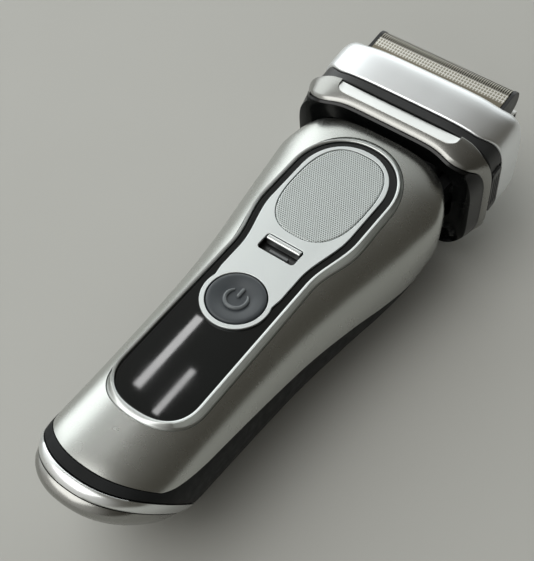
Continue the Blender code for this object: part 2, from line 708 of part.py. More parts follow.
def cassette_cover():
    """Metal cap of the cassette, open on top round the shaving parts."""
    lower = [edge_ring(cover_edge, inset) for inset in (0.0060, 0.0028, 0.0007)]
    profile = ((0.0650, 0.0004), (0.0677, 0.0008), (0.0690, 0.0014), (0.0696, 0.0024),
               (COVER_Y[1], 0.0036), (COVER_Y[1], 0.0060), (COVER_Y[1], 0.0100))
    cover = loft("cassette_cover", lower + [cheek_ring(y, inset) for y, inset in profile], BRIGHT)
    hollow = loft("cover_hollow", [head_ring(y, 0.0028) for y in (0.0540, 0.0681)], None, collection=CUTTERS)
    boolean(cover, hide_tool(hollow), "DIFFERENCE")
    outline = rounded_box_outline(0.0234, 0.0142, 0.0020, (0.0, HEAD_Z), 3)
    opening = prism("cover_opening", outline, 0.060, 0.080, None, "Y", CUTTERS)
    boolean(cover, hide_tool(opening), "DIFFERENCE")


def arch_outline(half, top, bottom, steps=8, inset=0.0):
    """Upside-down U in the side view: straight sides under a round top."""
    radius = half - inset
    points = [(bottom, -radius)]
    for k in range(steps + 1):
        angle = math.radians(180 * k / steps)
        points.append((top - half + radius * math.sin(angle), -radius * math.cos(angle)))
    points.append((bottom, radius))
    return points


def foil(name, offset):
    """Thin arched sheet; its lower edges stand in the cradle."""
    low = CASSETTE_FLOOR + 0.0018
    outer = arch_outline(FOIL_HALF_Z, FOIL_TOP, low)
    inner = arch_outline(FOIL_HALF_Z, FOIL_TOP, low, inset=0.0004)
    outline = [(y, HEAD_Z + offset + z) for y, z in outer + list(reversed(inner))]
    prism(name, outline, -FOIL_HALF_X + 0.0011, FOIL_HALF_X - 0.0011, FOIL, "X")


def foil_cradle(name, offset):
    """Carrier under a foil with an upright at each end."""
    z = HEAD_Z + offset
    cradle = block(name, (2 * FOIL_HALF_X, 0.0014, 0.0074), (0.0, CASSETTE_FLOOR + 0.0007, z), PLASTIC)
    for x in (-FOIL_HALF_X + 0.0005, FOIL_HALF_X - 0.0005):
        outline = [(y, z + w) for y, w in arch_outline(0.0036, 0.0803, CASSETTE_FLOOR + 0.0003, 6)]
        post = prism("post_" + name, outline, x - 0.0004, x + 0.0004, None, "X", CUTTERS)
        boolean(cradle, hide_tool(post), "UNION")
    cut_box(cradle, (0.0060, 0.0100, 0.0036), (0.0, CASSETTE_FLOOR, z))


def cutter_block(name, offset, half, top):
    """Row of arched blades on one beam, with a socket for its drive pin."""
    blades, pitch, thick = 7, 0.0056, 0.0016
    z = HEAD_Z + offset
    low = CASSETTE_FLOOR + 0.0026
    blade = [(y, z + w) for y, w in arch_outline(half, top, low, 6)]
    core = [(y, z + w) for y, w in arch_outline(half * 0.60, top - 0.0016, low + 0.0005, 6)]
    rings = []
    for k in range(blades):
        x = (k - (blades - 1) / 2) * pitch
        if k:
            rings.append([(x - thick / 2, y, w) for y, w in core])
        rings.append([(x - thick / 2, y, w) for y, w in blade])
        rings.append([(x + thick / 2, y, w) for y, w in blade])
        if k < blades - 1:
            rings.append([(x + thick / 2, y, w) for y, w in core])
    cutter = loft(name, rings, STEEL)
    cut_rod(cutter, 0.0015, 0.0070, (0.0, PIN_TOP - 0.0015, z), "Y", 14)


def centre_trimmer():
    """Toothed channel between the foils with its moving blade inside."""
    z = HEAD_Z + TRIM_OFFSET
    low = CASSETTE_FLOOR + 0.0003
    outer = ((low, -0.0021), (0.0790, -0.0021), (0.0808, -0.0013), (0.0808, 0.0013),
             (0.0790, 0.0021), (low, 0.0021))
    inner = ((low, 0.0015), (0.0787, 0.0015), (0.0802, 0.0009), (0.0802, -0.0009),
             (0.0787, -0.0015), (low, -0.0015))
    outline = [(y, z + w) for y, w in outer + inner]
    prism("centre_trimmer", outline, -FOIL_HALF_X, FOIL_HALF_X, STEEL, "X")
    blade = block("centre_trimmer_blade", (0.0360, 0.0130, 0.0022), (0.0, 0.0708, z), STEEL)
    cut_rod(blade, 0.0008 + GAP, 0.0070, (DRIVE_PINS[1][0], PIN_TOP - 0.0015, z), "Y", 12)


def skin_guard():
    z = HEAD_Z - 0.0026
    outline = [(y, z + w) for y, w in arch_outline(0.0017, 0.0800, CASSETTE_FLOOR + 0.0003, 6)]
    prism("skin_guard", outline, -FOIL_HALF_X, FOIL_HALF_X, PLASTIC, "X")


# ---------------------------------------------------------------- long-hair trimmer
def long_hair_trimmer():
    """Pop-up trimmer in the back: thumb slide, arm, comb and moving blade."""
    block("trimmer_slide", (0.0120, 0.0080, 0.0030), (0.0, 0.0095, 0.0021), RUBBER, 0.0004)
    block("trimmer_arm", (0.0210, 0.0250, 0.0026), (0.0, 0.0265, 0.0023), PLASTIC, 0.0004)
    block("trimmer_comb", (0.0210, 0.0034, 0.0012), (0.0, 0.0411, 0.0013), STEEL)
    block("trimmer_blade", (0.0186, 0.0028, 0.0010), (0.0, 0.0409, 0.0028), STEEL)


def build_handle():
    front_housing()
    rear_housing()
    base_ring()
    base_cap()
    charge_contacts()
    charge_socket()
    window_bezel()
    display_window()
    control_plate()
    grip_pad()
    power_button()
    lock_slider()
    lock_latch()
    chassis()
    power_parts()
    electronics()
    button_seal()
    chassis_screws()
    shoulder_deck()
    neck_yoke()
    long_hair_trimmer()


def build_head():
    pivot_pins()
    head_cup()
    head_frame()
    head_membrane()
    motor()
    release_buttons()
    cassette_frame()
    cassette_cover()
    for place, offset in (("front", FOIL_OFFSET), ("rear", -FOIL_OFFSET)):
        foil("foil_" + place, offset)
        foil_cradle("foil_cradle_" + place, offset)
        cutter_block("cutter_" + place, offset, FOIL_HALF_Z - 0.0008, FOIL_TOP - 0.0008)
    centre_trimmer()
    skin_guard()


def lean_forward(pieces):
    """Turn the finished head about its pivot to its resting lean."""
    pivot = bpy.data.objects.new("head_pivot", None)
    CUTTERS.objects.link(pivot)
    pivot.hide_render = True
    pivot.location = (0.0, PIVOT_Y, HEAD_Z)
    pivot.rotation_euler = (HEAD_LEAN, 0.0, 0.0)
    for piece in pieces:
        piece.parent = pivot
        piece.matrix_parent_inverse = Matrix.Translation((0.0, -PIVOT_Y, -HEAD_Z))


def centre_on_origin():
    for obj in bpy.data.objects:
        if obj.parent is None:
            obj.location.y += CENTRE_SHIFT


build_handle()
handle_pieces = set(bpy.data.objects)
build_head()
lean_forward([obj for obj in bpy.data.objects if obj not in handle_pieces])
centre_on_origin()
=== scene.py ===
"""Looks of the foil shaver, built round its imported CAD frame.

Metres, +Z up: X across the shaver, +Y towards the head, control face up. The
handle's pieces are made in their own frame and moved by PLACE; the head's are
made upright and then leaned with the head about its pivot.
"""

import json
import math

import bmesh
import bpy
from mathutils import Matrix, Vector

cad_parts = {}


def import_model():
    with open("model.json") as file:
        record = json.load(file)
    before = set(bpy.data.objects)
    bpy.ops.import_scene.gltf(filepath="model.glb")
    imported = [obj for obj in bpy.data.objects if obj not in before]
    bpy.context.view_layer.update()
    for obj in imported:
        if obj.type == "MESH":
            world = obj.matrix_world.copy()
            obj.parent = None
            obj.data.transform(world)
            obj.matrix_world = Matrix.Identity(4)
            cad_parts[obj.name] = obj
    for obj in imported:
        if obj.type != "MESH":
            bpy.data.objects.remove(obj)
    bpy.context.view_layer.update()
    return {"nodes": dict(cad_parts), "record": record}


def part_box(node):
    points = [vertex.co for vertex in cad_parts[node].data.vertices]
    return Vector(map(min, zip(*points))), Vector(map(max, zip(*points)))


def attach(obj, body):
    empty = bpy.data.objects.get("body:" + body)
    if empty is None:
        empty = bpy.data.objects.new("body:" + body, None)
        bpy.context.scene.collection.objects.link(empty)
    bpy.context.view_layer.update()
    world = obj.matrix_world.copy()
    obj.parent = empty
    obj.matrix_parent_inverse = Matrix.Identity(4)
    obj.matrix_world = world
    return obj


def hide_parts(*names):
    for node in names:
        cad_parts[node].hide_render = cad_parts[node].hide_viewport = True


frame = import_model()

# ---------------------------------------------------------------- dimensions
FRONT_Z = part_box("front_housing")[1].z
WALL = 0.0018
GAP = 0.0003
SHIFT = -0.0010           # the handle's own frame against the shaver's origin

HANDLE = (                # y, half width, depth above the widest line, depth below it
    (-0.0815, 0.0160, 0.0115, 0.0185),
    (-0.0710, 0.0168, 0.0120, 0.0238),
    (-0.0500, 0.01735, 0.0138, 0.0233),
    (-0.0200, 0.01875, 0.0163, 0.0208),
    (0.0000, 0.02105, 0.0177, 0.0194),
    (0.0120, 0.0230, 0.0178, 0.0193),
    (0.0240, 0.0244, 0.0165, 0.0206),
    (0.0360, 0.0248, 0.0130, 0.0240),
    (0.0445, 0.0236, 0.0112, 0.0248),
)
FRONT_POWER = 2.6
BACK_POWER = 2.2
SHOULDER_Y = 0.0445
SHOULDER_DROP = 0.0074
SHOULDER_POWER = 5.0
BASE_SLANT = 0.60
SLANT_FROM = -0.0160
SLANT_FULL = -0.0660
BASE_BOW = 0.0042
SHELL_END_Y = -0.0717
BAND_END_Y = -0.0745
RING_END_Y = -0.0780
BASE_Y = -0.0828
SOCKET_Z = 0.0215          # height of the charging socket on the slanted face
SEAM = ((-0.0520, 0.0270), (-0.0350, 0.0250), (-0.0100, 0.0216), (0.0100, 0.0177),
        (0.0260, 0.0142), (0.0380, 0.0112), (0.0600, 0.0085))
CORNER = ((-0.0688, 0.0344), (-0.0648, 0.0293))

INLAY_BOTTOM = -0.0548
INLAY_TOP = 0.0390
INLAY_NARROW = 0.0104
INLAY_WIDE = 0.0134
NECK_Y = (-0.0060, 0.0110)             # the inlay widens between these
INLAY_STRAIGHT = (-0.0458, 0.0240)     # its round ends start here
BEZEL_FLOOR = 0.0326                   # underside of the bezel
FACE_CUT = (0.03, 0.04)                # tools cut the face between these heights
BUTTON_Y = -0.0190
BUTTON_RADIUS = 0.0071
PLATE_RING = 0.0086
PLATE_MARGIN = 0.0018
PLATE_NECK_Y = -0.0150                 # the plate's sides leave the button's ring here
SLOT_Y = -0.0014
SLOT_SIZE = (0.0105, 0.0051)
PAD_CENTRE_Y = 0.0198
PAD_HALF = (0.0104, 0.0158)
PAD_POWER = 2.6

HEAD_Z = 0.0224
HEAD_HALF = (0.0285, 0.0187)
HEAD_POWER = 4.5
PIVOT_Y = 0.0515
HEAD_LEAN = math.radians(6)
FRAME_Y = (0.0479, 0.0543)
BAND_Y = (0.0546, 0.0575)
COVER_Y = (0.0571, 0.0698)
CHEEK_RISE = 0.0022       # the cover's ends stand this much higher
CHEEK_X = (0.0190, 0.0260)
CASSETTE_FLOOR = 0.0628
FOIL_TOP = 0.0800
FOIL_HALF_X = 0.0210
FOIL_HALF_Z = 0.0038
FOIL_OFFSET = 0.0100
TRIM_OFFSET = 0.0021

RING_POINTS = 144
PLACE = Matrix.Translation((0.0, SHIFT, 0.0))
HEAD_PLACE = (Matrix.Translation((0.0, PIVOT_Y + SHIFT, HEAD_Z)) @ Matrix.Rotation(HEAD_LEAN, 4, "X")
              @ Matrix.Translation((0.0, -PIVOT_Y, -HEAD_Z)))


# ---------------------------------------------------------------- form helpers
def unit_curve(angle, power):
    c, s = math.cos(angle), math.sin(angle)
    return (math.copysign(abs(c) ** (2 / power), c), math.copysign(abs(s) ** (2 / power), s))


def smooth_step(value, start, end):
    t = min(max((value - start) / (end - start), 0.0), 1.0)
    return t * t * (3 - 2 * t)


def blend(table, y, column):
    """Smooth curve through one column of a table of stations."""
    ys = [row[0] for row in table]
    vs = [row[column] for row in table]
    y = min(max(y, ys[0]), ys[-1])
    slopes = [(vs[i + 1] - vs[i]) / (ys[i + 1] - ys[i]) for i in range(len(ys) - 1)]
    tangents = [slopes[0]]
    for left, right in zip(slopes, slopes[1:]):
        tangents.append(2 * left * right / (left + right) if left * right > 0 else 0.0)
    tangents.append(slopes[-1])
    i = max(k for k in range(len(ys) - 1) if ys[k] <= y)
    span = ys[i + 1] - ys[i]
    t = (y - ys[i]) / span
    return ((1 + 2 * t) * (1 - t) ** 2 * vs[i] + t * (1 - t) ** 2 * span * tangents[i]
            + t * t * (3 - 2 * t) * vs[i + 1] - t * t * (1 - t) * span * tangents[i + 1])


def section_point(y, angle, inset):
    half, above, below = (blend(HANDLE, y, column) for column in (1, 2, 3))
    c, s = unit_curve(angle, FRONT_POWER if math.sin(angle) > 0 else BACK_POWER)
    z = FRONT_Z - above + (above - inset if s > 0 else below - inset) * s
    return ((half - inset) * c, max(z, inset), half)


def handle_point(y, angle, inset=0.0):
    """Point of the handle's skin; the lower sections lean back with the base."""
    slant = BASE_SLANT * smooth_step(y, SLANT_FROM, SLANT_FULL)
    bow = BASE_BOW * smooth_step(y, -0.0420, -0.0700) + 0.10 * max(0.0, SHELL_END_Y - y)
    along = y
    for _ in range(6):
        x, z, half = section_point(along, angle, inset)
        along = y + slant * (FRONT_Z - z) + bow * abs(x / half) ** 2.2
    top = min(max((y - 0.014) / 0.0305, 0.0), 1.1)
    return (x, along - SHOULDER_DROP * top ** 2 * abs(x / half) ** SHOULDER_POWER, z)


def handle_ring(y, inset=0.0, count=RING_POINTS):
    return [handle_point(y, 2 * math.pi * k / count, inset) for k in range(count)]


def handle_top_z(x, y):
    half, above = blend(HANDLE, y, 1), blend(HANDLE, y, 2)
    return FRONT_Z - above + above * (1 - min(abs(x / half), 1.0) ** FRONT_POWER) ** (1 / FRONT_POWER)


def head_ring(y, inset=0.0, count=RING_POINTS):
    points = []
    for k in range(count):
        c, s = unit_curve(2 * math.pi * k / count, HEAD_POWER)
        points.append(((HEAD_HALF[0] - inset) * c, y, HEAD_Z + (HEAD_HALF[1] - inset) * s))
    return points


def frame_edge(x):
    t = min(abs(x) / HEAD_HALF[0], 1.0)
    dip = 0.0015 * math.exp(-((t - 0.70) / 0.16) ** 2)
    return FRAME_Y[0] - dip + 0.0040 / (1 + math.exp(-(t - 0.90) * 32))


def frame_top(x):
    return FRAME_Y[1] - 0.0012 * smooth_step(abs(x) / HEAD_HALF[0], 0.70, 0.95)


def cover_edge(x):
    return COVER_Y[0] + 0.0026 * smooth_step(abs(x) / HEAD_HALF[0], 0.70, 0.95)


def edge_ring(edge, inset, shift=0.0):
    return [(x, edge(x) + shift, z) for x, _, z in head_ring(0.0, inset)]


def cup_ring(y, inset):
    return [(x, level - 0.0032 * smooth_step(abs(x), 0.0190, 0.0265), z)
            for x, level, z in head_ring(y, inset)]


def ellipse_outline(half_u, half_v, centre, count=96, power=2.0):
    points = []
    for k in range(count):
        c, s = unit_curve(2 * math.pi * k / count, power)
        points.append((centre[0] + half_u * c, centre[1] + half_v * s))
    return points


def rounded_outline(half_u, half_v, radius, centre=(0.0, 0.0), steps=8):
    points = []
    for quarter, (su, sv) in enumerate(((1, 1), (-1, 1), (-1, -1), (1, -1))):
        for k in range(steps + 1):
            angle = math.radians(90) * (quarter + k / steps)
            points.append((centre[0] + su * (half_u - radius) + radius * math.cos(angle),
                           centre[1] + sv * (half_v - radius) + radius * math.sin(angle)))
    return points


def inlay_half_width(y):
    return INLAY_NARROW + (INLAY_WIDE - INLAY_NARROW) * smooth_step(y, NECK_Y[0], NECK_Y[1])


def inlay_outline(offset=0.0, lower_extra=0.0, steps=26, rows=40):
    """Closed outline of the inlay, grown by offset, more at the lower end."""
    low_start, top_start = INLAY_STRAIGHT
    right = []
    low_half = low_start - INLAY_BOTTOM + offset + lower_extra
    for k in range(steps + 1):
        c, s = unit_curve(math.radians(-90 + 90 * k / steps), 2.4)
        right.append(((inlay_half_width(low_start) + offset) * c, low_start + low_half * s))
    for k in range(1, rows):
        y = low_start + (top_start - low_start) * k / rows
        right.append((inlay_half_width(y) + offset, y))
    top_half = INLAY_TOP - top_start + offset
    for k in range(steps + 1):
        c, s = unit_curve(math.radians(90 * k / steps), 2.1)
        right.append(((INLAY_WIDE + offset) * c, top_start + top_half * s))
    return right + [(-x, y) for x, y in reversed(right) if x > 1e-6]


# ---------------------------------------------------------------- mesh helpers
def link(name, mesh):
    obj = bpy.data.objects.new(name, mesh)
    bpy.context.scene.collection.objects.link(obj)
    return obj


def loft(name, rings, closed=False):
    """Skin a list of equal rings; closed joins the last ring to the first."""
    bm = bmesh.new()
    rows = [[bm.verts.new(p) for p in ring] for ring in rings]
    count = len(rings[0])
    pairs = list(zip(rows, rows[1:]))
    if closed:
        pairs.append((rows[-1], rows[0]))
    for low, high in pairs:
        for i in range(count):
            j = (i + 1) % count
            bm.faces.new((low[i], low[j], high[j], high[i]))
    if not closed:
        bm.faces.new(list(reversed(rows[0])))
        bm.faces.new(rows[-1])
    bmesh.ops.recalc_face_normals(bm, faces=bm.faces)
    mesh = bpy.data.meshes.new(name)
    bm.to_mesh(mesh)
    bm.free()
    return link(name, mesh)


def prism(name, outline, low, high, axis="Z"):
    def place(u, v, w):
        return {"X": (w, u, v), "Y": (u, w, v), "Z": (u, v, w)}[axis]
    return loft(name, [[place(u, v, w) for u, v in outline] for w in (low, high)])


def rod(name, radius, length, centre, axis, sides=48):
    outline = [(radius * math.cos(2 * math.pi * k / sides), radius * math.sin(2 * math.pi * k / sides))
               for k in range(sides)]
    obj = prism(name, outline, -length / 2, length / 2, axis)
    obj.data.transform(Matrix.Translation(centre))
    return obj


def block(name, size, centre):
    bm = bmesh.new()
    bmesh.ops.create_cube(bm, size=1.0)
    bmesh.ops.scale(bm, vec=Vector(size), verts=bm.verts)
    bmesh.ops.translate(bm, vec=Vector(centre), verts=bm.verts)
    mesh = bpy.data.meshes.new(name)
    bm.to_mesh(mesh)
    bm.free()
    return link(name, mesh)


def bake(obj):
    """Apply the object's modifiers to its mesh."""
    bpy.context.view_layer.update()
    deps = bpy.context.evaluated_depsgraph_get()
    mesh = bpy.data.meshes.new_from_object(obj.evaluated_get(deps))
    obj.modifiers.clear()
    obj.data = mesh
    return obj


def combine(obj, tools, operation="DIFFERENCE"):
    """Boolean the tools into the object and remove them."""
    for tool in tools:
        mod = obj.modifiers.new(tool.name, "BOOLEAN")
        mod.operation = operation
        mod.solver = "EXACT"
        mod.object = tool
    bake(obj)
    for tool in tools:
        bpy.data.objects.remove(tool, do_unlink=True)
    return obj


def bevel(obj, width, segments=3, angle=40):
    mod = obj.modifiers.new("edges", "BEVEL")
    mod.width = width
    mod.segments = segments
    mod.limit_method = "ANGLE"
    mod.angle_limit = math.radians(angle)
    return bake(obj)


def smooth(obj, angle=38.0):
    obj.data.shade_smooth()
    obj.data.set_sharp_from_angle(angle=math.radians(angle))
    return obj


def join(name, pieces):
    """One object from several; the pieces are removed."""
    bm = bmesh.new()
    for piece in pieces:
        bm.from_mesh(piece.data)
        bpy.data.objects.remove(piece, do_unlink=True)
    mesh = bpy.data.meshes.new(name)
    bm.to_mesh(mesh)
    bm.free()
    return link(name, mesh)


def settle(obj, mat, body, nodes=(), place=PLACE, angle=38.0):
    """Give a finished piece its place, material, smooth normals and body, and hide the CAD nodes it replaces.
    """
    obj.data.transform(place)
    obj.data.materials.clear()
    obj.data.materials.append(mat)
    smooth(obj, angle)
    mod = obj.modifiers.new("normals", "WEIGHTED_NORMAL")
    mod.keep_sharp = True
    bake(obj)
    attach(obj, body)
    if nodes:
        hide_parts(*nodes)
    return obj


# ---------------------------------------------------------------- materials
class Shader:
    """A Principled material with helpers for procedural detail."""

    def __init__(self, name, colour, roughness, metallic=0.0, **sockets):
        self.mat = bpy.data.materials.new(name)
        self.mat.use_nodes = True
        self.tree = self.mat.node_tree
        self.bsdf = self.tree.nodes["Principled BSDF"]
        self.put(self.bsdf, "Base Color", (*colour, 1.0))
        self.put(self.bsdf, "Roughness", roughness)
        self.put(self.bsdf, "Metallic", metallic)
        for socket, value in sockets.items():
            self.put(self.bsdf, socket.replace("_", " "), value)

    def put(self, node, socket, value):
        target = node.inputs[socket]
        if isinstance(value, bpy.types.NodeSocket):
            self.tree.links.new(value, target)
        else:
            target.default_value = value

    def node(self, kind, **inputs):
        node = self.tree.nodes.new(kind)
        for socket, value in inputs.items():
            self.put(node, socket.replace("_", " "), value)
        return node

    def coords(self, scale=(1.0, 1.0, 1.0)):
        """Object coordinates in metres times scale."""
        source = self.tree.nodes.new("ShaderNodeTexCoord").outputs["Object"]
        mapping = self.node("ShaderNodeMapping", Vector=source, Scale=scale)
        return mapping.outputs["Vector"]

    def noise(self, scale, detail=3.0, stretch=(1.0, 1.0, 1.0)):
        noise = self.node("ShaderNodeTexNoise", Vector=self.coords(stretch), Scale=scale, Detail=detail)
        return noise.outputs["Fac"]

    def ramp(self, value, stops):
        node = self.node("ShaderNodeValToRGB", Fac=value)
        elements = node.color_ramp.elements
        while len(elements) < len(stops):
            elements.new(0.5)
        for element, (position, colour) in zip(elements, stops):
            element.position = position
            element.color = (*colour, 1.0) if len(colour) == 3 else colour
        return node.outputs["Color"]

    def math(self, operation, *values):
        node = self.tree.nodes.new("ShaderNodeMath")
        node.operation = operation
        for i, value in enumerate(values):
            if isinstance(value, bpy.types.NodeSocket):
                self.tree.links.new(value, node.inputs[i])
            else:
                node.inputs[i].default_value = value
        return node.outputs[0]

    def range(self, value, low, high, source=(0.3, 0.7)):
        node = self.node("ShaderNodeMapRange", Value=value)
        node.inputs["From Min"].default_value, node.inputs["From Max"].default_value = source
        node.inputs["To Min"].default_value, node.inputs["To Max"].default_value = low, high
        return node.outputs["Result"]

    def roughness(self, value):
        self.put(self.bsdf, "Roughness", value)

    def colour(self, value):
        self.put(self.bsdf, "Base Color", value)

    def bump(self, height, strength, distance):
        node = self.node("ShaderNodeBump", Height=height, Strength=strength, Distance=distance)
        self.put(self.bsdf, "Normal", node.outputs["Normal"])


def grey(value):
    return (value, value, value)


def satin_metal(name, colour, roughness, grain=0.008):
    """Fine-blasted metal with a faint grain along the shaver."""
    s = Shader(name, colour, roughness, 1.0)
    s.roughness(s.range(s.noise(240, 4.0), roughness - grain, roughness + grain))
    low = tuple(c * 0.95 for c in colour)
    high = tuple(min(c * 1.04, 1.0) for c in colour)
    s.colour(s.ramp(s.noise(60, 2.0, (1.0, 0.25, 1.0)), ((0.35, low), (0.65, high))))
    s.bump(s.noise(5200, 2.0), 0.008, 0.00002)
    return s.mat


def rubber_material():
    s = Shader("black_rubber", (0.012, 0.013, 0.013), 0.5, Specular_IOR_Level=0.16)
    s.roughness(s.range(s.noise(400, 3.0), 0.50, 0.66))
    s.colour(s.ramp(s.noise(90, 3.0), ((0.3, (0.010, 0.011, 0.011)), (0.7, (0.015, 0.016, 0.017)))))
    s.bump(s.noise(3800, 2.0), 0.18, 0.00004)
    return s.mat


def gloss_material(name="gloss_black", roughness=0.028):
    s = Shader(name, (0.004, 0.004, 0.005), roughness, Specular_IOR_Level=0.38)
    s.roughness(s.range(s.noise(70, 4.0), roughness * 0.7, roughness * 1.3))
    s.colour(s.ramp(s.noise(40, 2.0), ((0.3, grey(0.003)), (0.7, (0.005, 0.006, 0.006)))))
    return s.mat


def plastic_material(name, colour, roughness):
    s = Shader(name, colour, roughness)
    s.roughness(s.range(s.noise(300, 3.0), roughness * 0.85, roughness * 1.15))
    low = tuple(c * 0.9 for c in colour)
    high = tuple(c * 1.1 for c in colour)
    s.colour(s.ramp(s.noise(120, 2.0), ((0.3, low), (0.7, high))))
    s.bump(s.noise(2600, 2.0), 0.10, 0.00003)
    return s.mat


def honeycomb(s, pitch):
    """Distance to the nearest point of a hexagonal grid, in pitches."""
    root = math.sqrt(3)
    x, y, _ = (s.node("ShaderNodeSeparateXYZ", Vector=s.coords()).outputs[k] for k in range(3))
    distances = []
    for shift in (0.0, 0.5):
        u = s.math("SUBTRACT", s.math("FRACT", s.math("ADD", s.math("DIVIDE", x, pitch), shift + 200.0)), 0.5)
        v = s.math("DIVIDE", y, pitch * root)
        v = s.math("SUBTRACT", s.math("FRACT", s.math("ADD", v, shift + 200.0)), 0.5)
        v = s.math("MULTIPLY", v, root)
        distances.append(s.math("SQRT", s.math("ADD", s.math("MULTIPLY", u, u), s.math("MULTIPLY", v, v))))
    return s.math("MINIMUM", *distances)


def pad_material():
    """Silver-grey thumb pad with a honeycomb of fine dimples, painted darker towards each dimple's centre as
    painted shade.
    """
    s = Shader("grip_mesh", (0.36, 0.38, 0.37), 0.45, 0.8)
    cell = honeycomb(s, 0.00062)
    # painted shade: the colour darkens into each dimple, where the bump sinks; the honeycomb itself is the
    # pad's real texture
    s.colour(s.ramp(cell, ((0.22, (0.20, 0.215, 0.21)), (0.34, (0.52, 0.55, 0.55)),
                           (0.52, (0.74, 0.78, 0.77)))))
    s.roughness(s.range(cell, 0.55, 0.30, (0.2, 0.5)))
    s.bump(s.range(cell, 0.0, 1.0, (0.2, 0.45)), 0.7, 0.00006)
    return s.mat


def stripes(s, value, count):
    """Triangle wave from 0 to 0.5, count times over a span of one."""
    return s.math("ABSOLUTE", s.math("SUBTRACT", s.math("FRACT", s.math("MULTIPLY", value, count)), 0.5))


def mixed(s, factor, first, second):
    mix = s.tree.nodes.new("ShaderNodeMix")
    mix.data_type = "RGBA"
    s.tree.links.new(factor, mix.inputs["Factor"])
    for socket, value in ((6, first), (7, second)):
        if isinstance(value, bpy.types.NodeSocket):
            s.tree.links.new(value, mix.inputs[socket])
        else:
            mix.inputs[socket].default_value = (*value, 1.0)
    return mix.outputs[2]


def foil_material():
    """Thin steel foil: golden edges, a pierced band painted bright as a painted highlight, fine dark teeth on
    the crown.
    """
    s = Shader("foil_steel", (0.62, 0.58, 0.50), 0.30, 1.0)
    uv = s.tree.nodes.new("ShaderNodeUVMap")
    uv.uv_map = "pattern"
    split = s.node("ShaderNodeSeparateXYZ", Vector=uv.outputs["UV"])
    along, across = split.outputs[0], split.outputs[1]
    side = s.math("SUBTRACT", 0.5, s.math("ABSOLUTE", s.math("SUBTRACT", across, 0.5)))
    slots = stripes(s, along, 46.0)
    pierced = s.math("MINIMUM", slots, s.math("MULTIPLY", stripes(s, side, 34.0), 1.3))
    # painted highlight: the near-white steel of the pierced band stands in for the highlights along the
    # foil's arch; the slots are its real piercing
    band = s.ramp(pierced, ((0.10, (1.0, 0.98, 0.93)), (0.26, (0.46, 0.43, 0.35))))
    teeth = s.ramp(stripes(s, along, 62.0), ((0.12, (0.42, 0.40, 0.34)), (0.24, (0.035, 0.033, 0.028))))
    lower = s.ramp(side, ((0.220, grey(0.0)), (0.230, grey(1.0))))
    upper = s.ramp(side, ((0.305, grey(0.0)), (0.325, grey(1.0))))
    s.colour(mixed(s, upper, mixed(s, lower, (0.30, 0.27, 0.21), band), teeth))
    s.bump(s.math("MULTIPLY", pierced, lower), 0.5, 0.0001)
    return s.mat


def make_materials():
    return {
        "satin_shell": satin_metal("satin_shell", (0.52, 0.53, 0.51), 0.27),
        "bright_trim": satin_metal("bright_trim", (0.78, 0.80, 0.80), 0.28),
        "plate_silver": satin_metal("plate_silver", (0.75, 0.78, 0.78), 0.46),
        "cover_silver": satin_metal("cover_silver", (0.92, 0.94, 0.96), 0.34),
        "frame_metal": satin_metal("frame_metal", (0.35, 0.35, 0.335), 0.27),
        # painted highlight: the scoop strip is the frame's own metal, made much brighter as if lit from above
        "strip_painted_highlight": satin_metal("strip_painted_highlight", (0.80, 0.81, 0.80), 0.38),
        "bezel_metal": satin_metal("bezel_metal", (0.62, 0.64, 0.63), 0.34),
        "cup_black": gloss_material("cup_black", 0.22),
        # painted highlight: the symbol is the button's own grey, given a lighter grey to stand in for its
        # glossy highlights
        "symbol_painted_highlight": plastic_material("symbol_painted_highlight", (0.15, 0.165, 0.175), 0.10),
        "black_rubber": rubber_material(),
        "gloss_black": gloss_material(),
        "button_grey": plastic_material("button_grey", (0.052, 0.060, 0.068), 0.36),
        "grip_mesh": pad_material(),
        "foil_steel": foil_material(),
        "blade_steel": satin_metal("blade_steel", (0.52, 0.52, 0.51), 0.30),
        "grey_plastic": plastic_material("grey_plastic", (0.19, 0.20, 0.21), 0.45),
        "dark_plastic": plastic_material("dark_plastic", (0.020, 0.021, 0.022), 0.40),
        "board_green": plastic_material("board_green", (0.02, 0.16, 0.06), 0.45),
        "copper_wire": satin_metal("copper_wire", (0.72, 0.34, 0.16), 0.35),
        "cell_wrap": plastic_material("cell_wrap", (0.05, 0.20, 0.42), 0.40),
        "contact_gold": satin_metal("contact_gold", (0.85, 0.62, 0.25), 0.25),
    }


MATS = make_materials()


# ---------------------------------------------------------------- handle shells
def seam_tool(grow):
    """Side-view prism above the seam, with a soft corner at the lower end."""
    start, middle = ((y - grow, z - grow) for y, z in CORNER)
    end = (SEAM[0][0], SEAM[0][1] - grow)
    outline = [(-0.0780, 0.0450), (-0.0780, CORNER[0][1] - grow)]
    for k in range(25):
        t = k / 24
        outline.append(tuple((1 - t) ** 2 * start[i] + 2 * t * (1 - t) * middle[i] + t * t * end[i]
                             for i in range(2)))
    for k in range(1, 60):
        y = SEAM[0][0] + (SEAM[-1][0] - SEAM[0][0]) * k / 60
        outline.append((y, blend(SEAM, y, 1) - grow))
    outline += [(SEAM[-1][0], SEAM[-1][1] - grow), (SEAM[-1][0], 0.0450)]
    return prism("seam", outline, -0.05, 0.05, "X")


def shell_rows(low, high, rows=64):
    return [low + (high - low) * k / (rows - 1) for k in range(rows)]


def handle_skin(name, low, high):
    """Shell whose two end edges are rounded over."""
    ys = shell_rows(low, high)
    outer = [handle_ring(low, 0.0004), handle_ring(low + 0.00012, 0.00012)]
    outer += [handle_ring(y) for y in ys[1:-1]]
    outer += [handle_ring(high - 0.00015, 0.00012), handle_ring(high, 0.0005)]
    inner = [handle_ring(y, WALL) for y in reversed(ys)]
    return loft(name, outer + inner, closed=True)


def front_shell():
    shell = handle_skin("front_shell", SHELL_END_Y, SHOULDER_Y)
    combine(shell, [seam_tool(0.0)], "INTERSECT")
    combine(shell, [prism("opening", inlay_outline(0.0019, 0.0004), 0.02, 0.05)])
    settle(shell, MATS["satin_shell"], "handle", ["front_housing"])


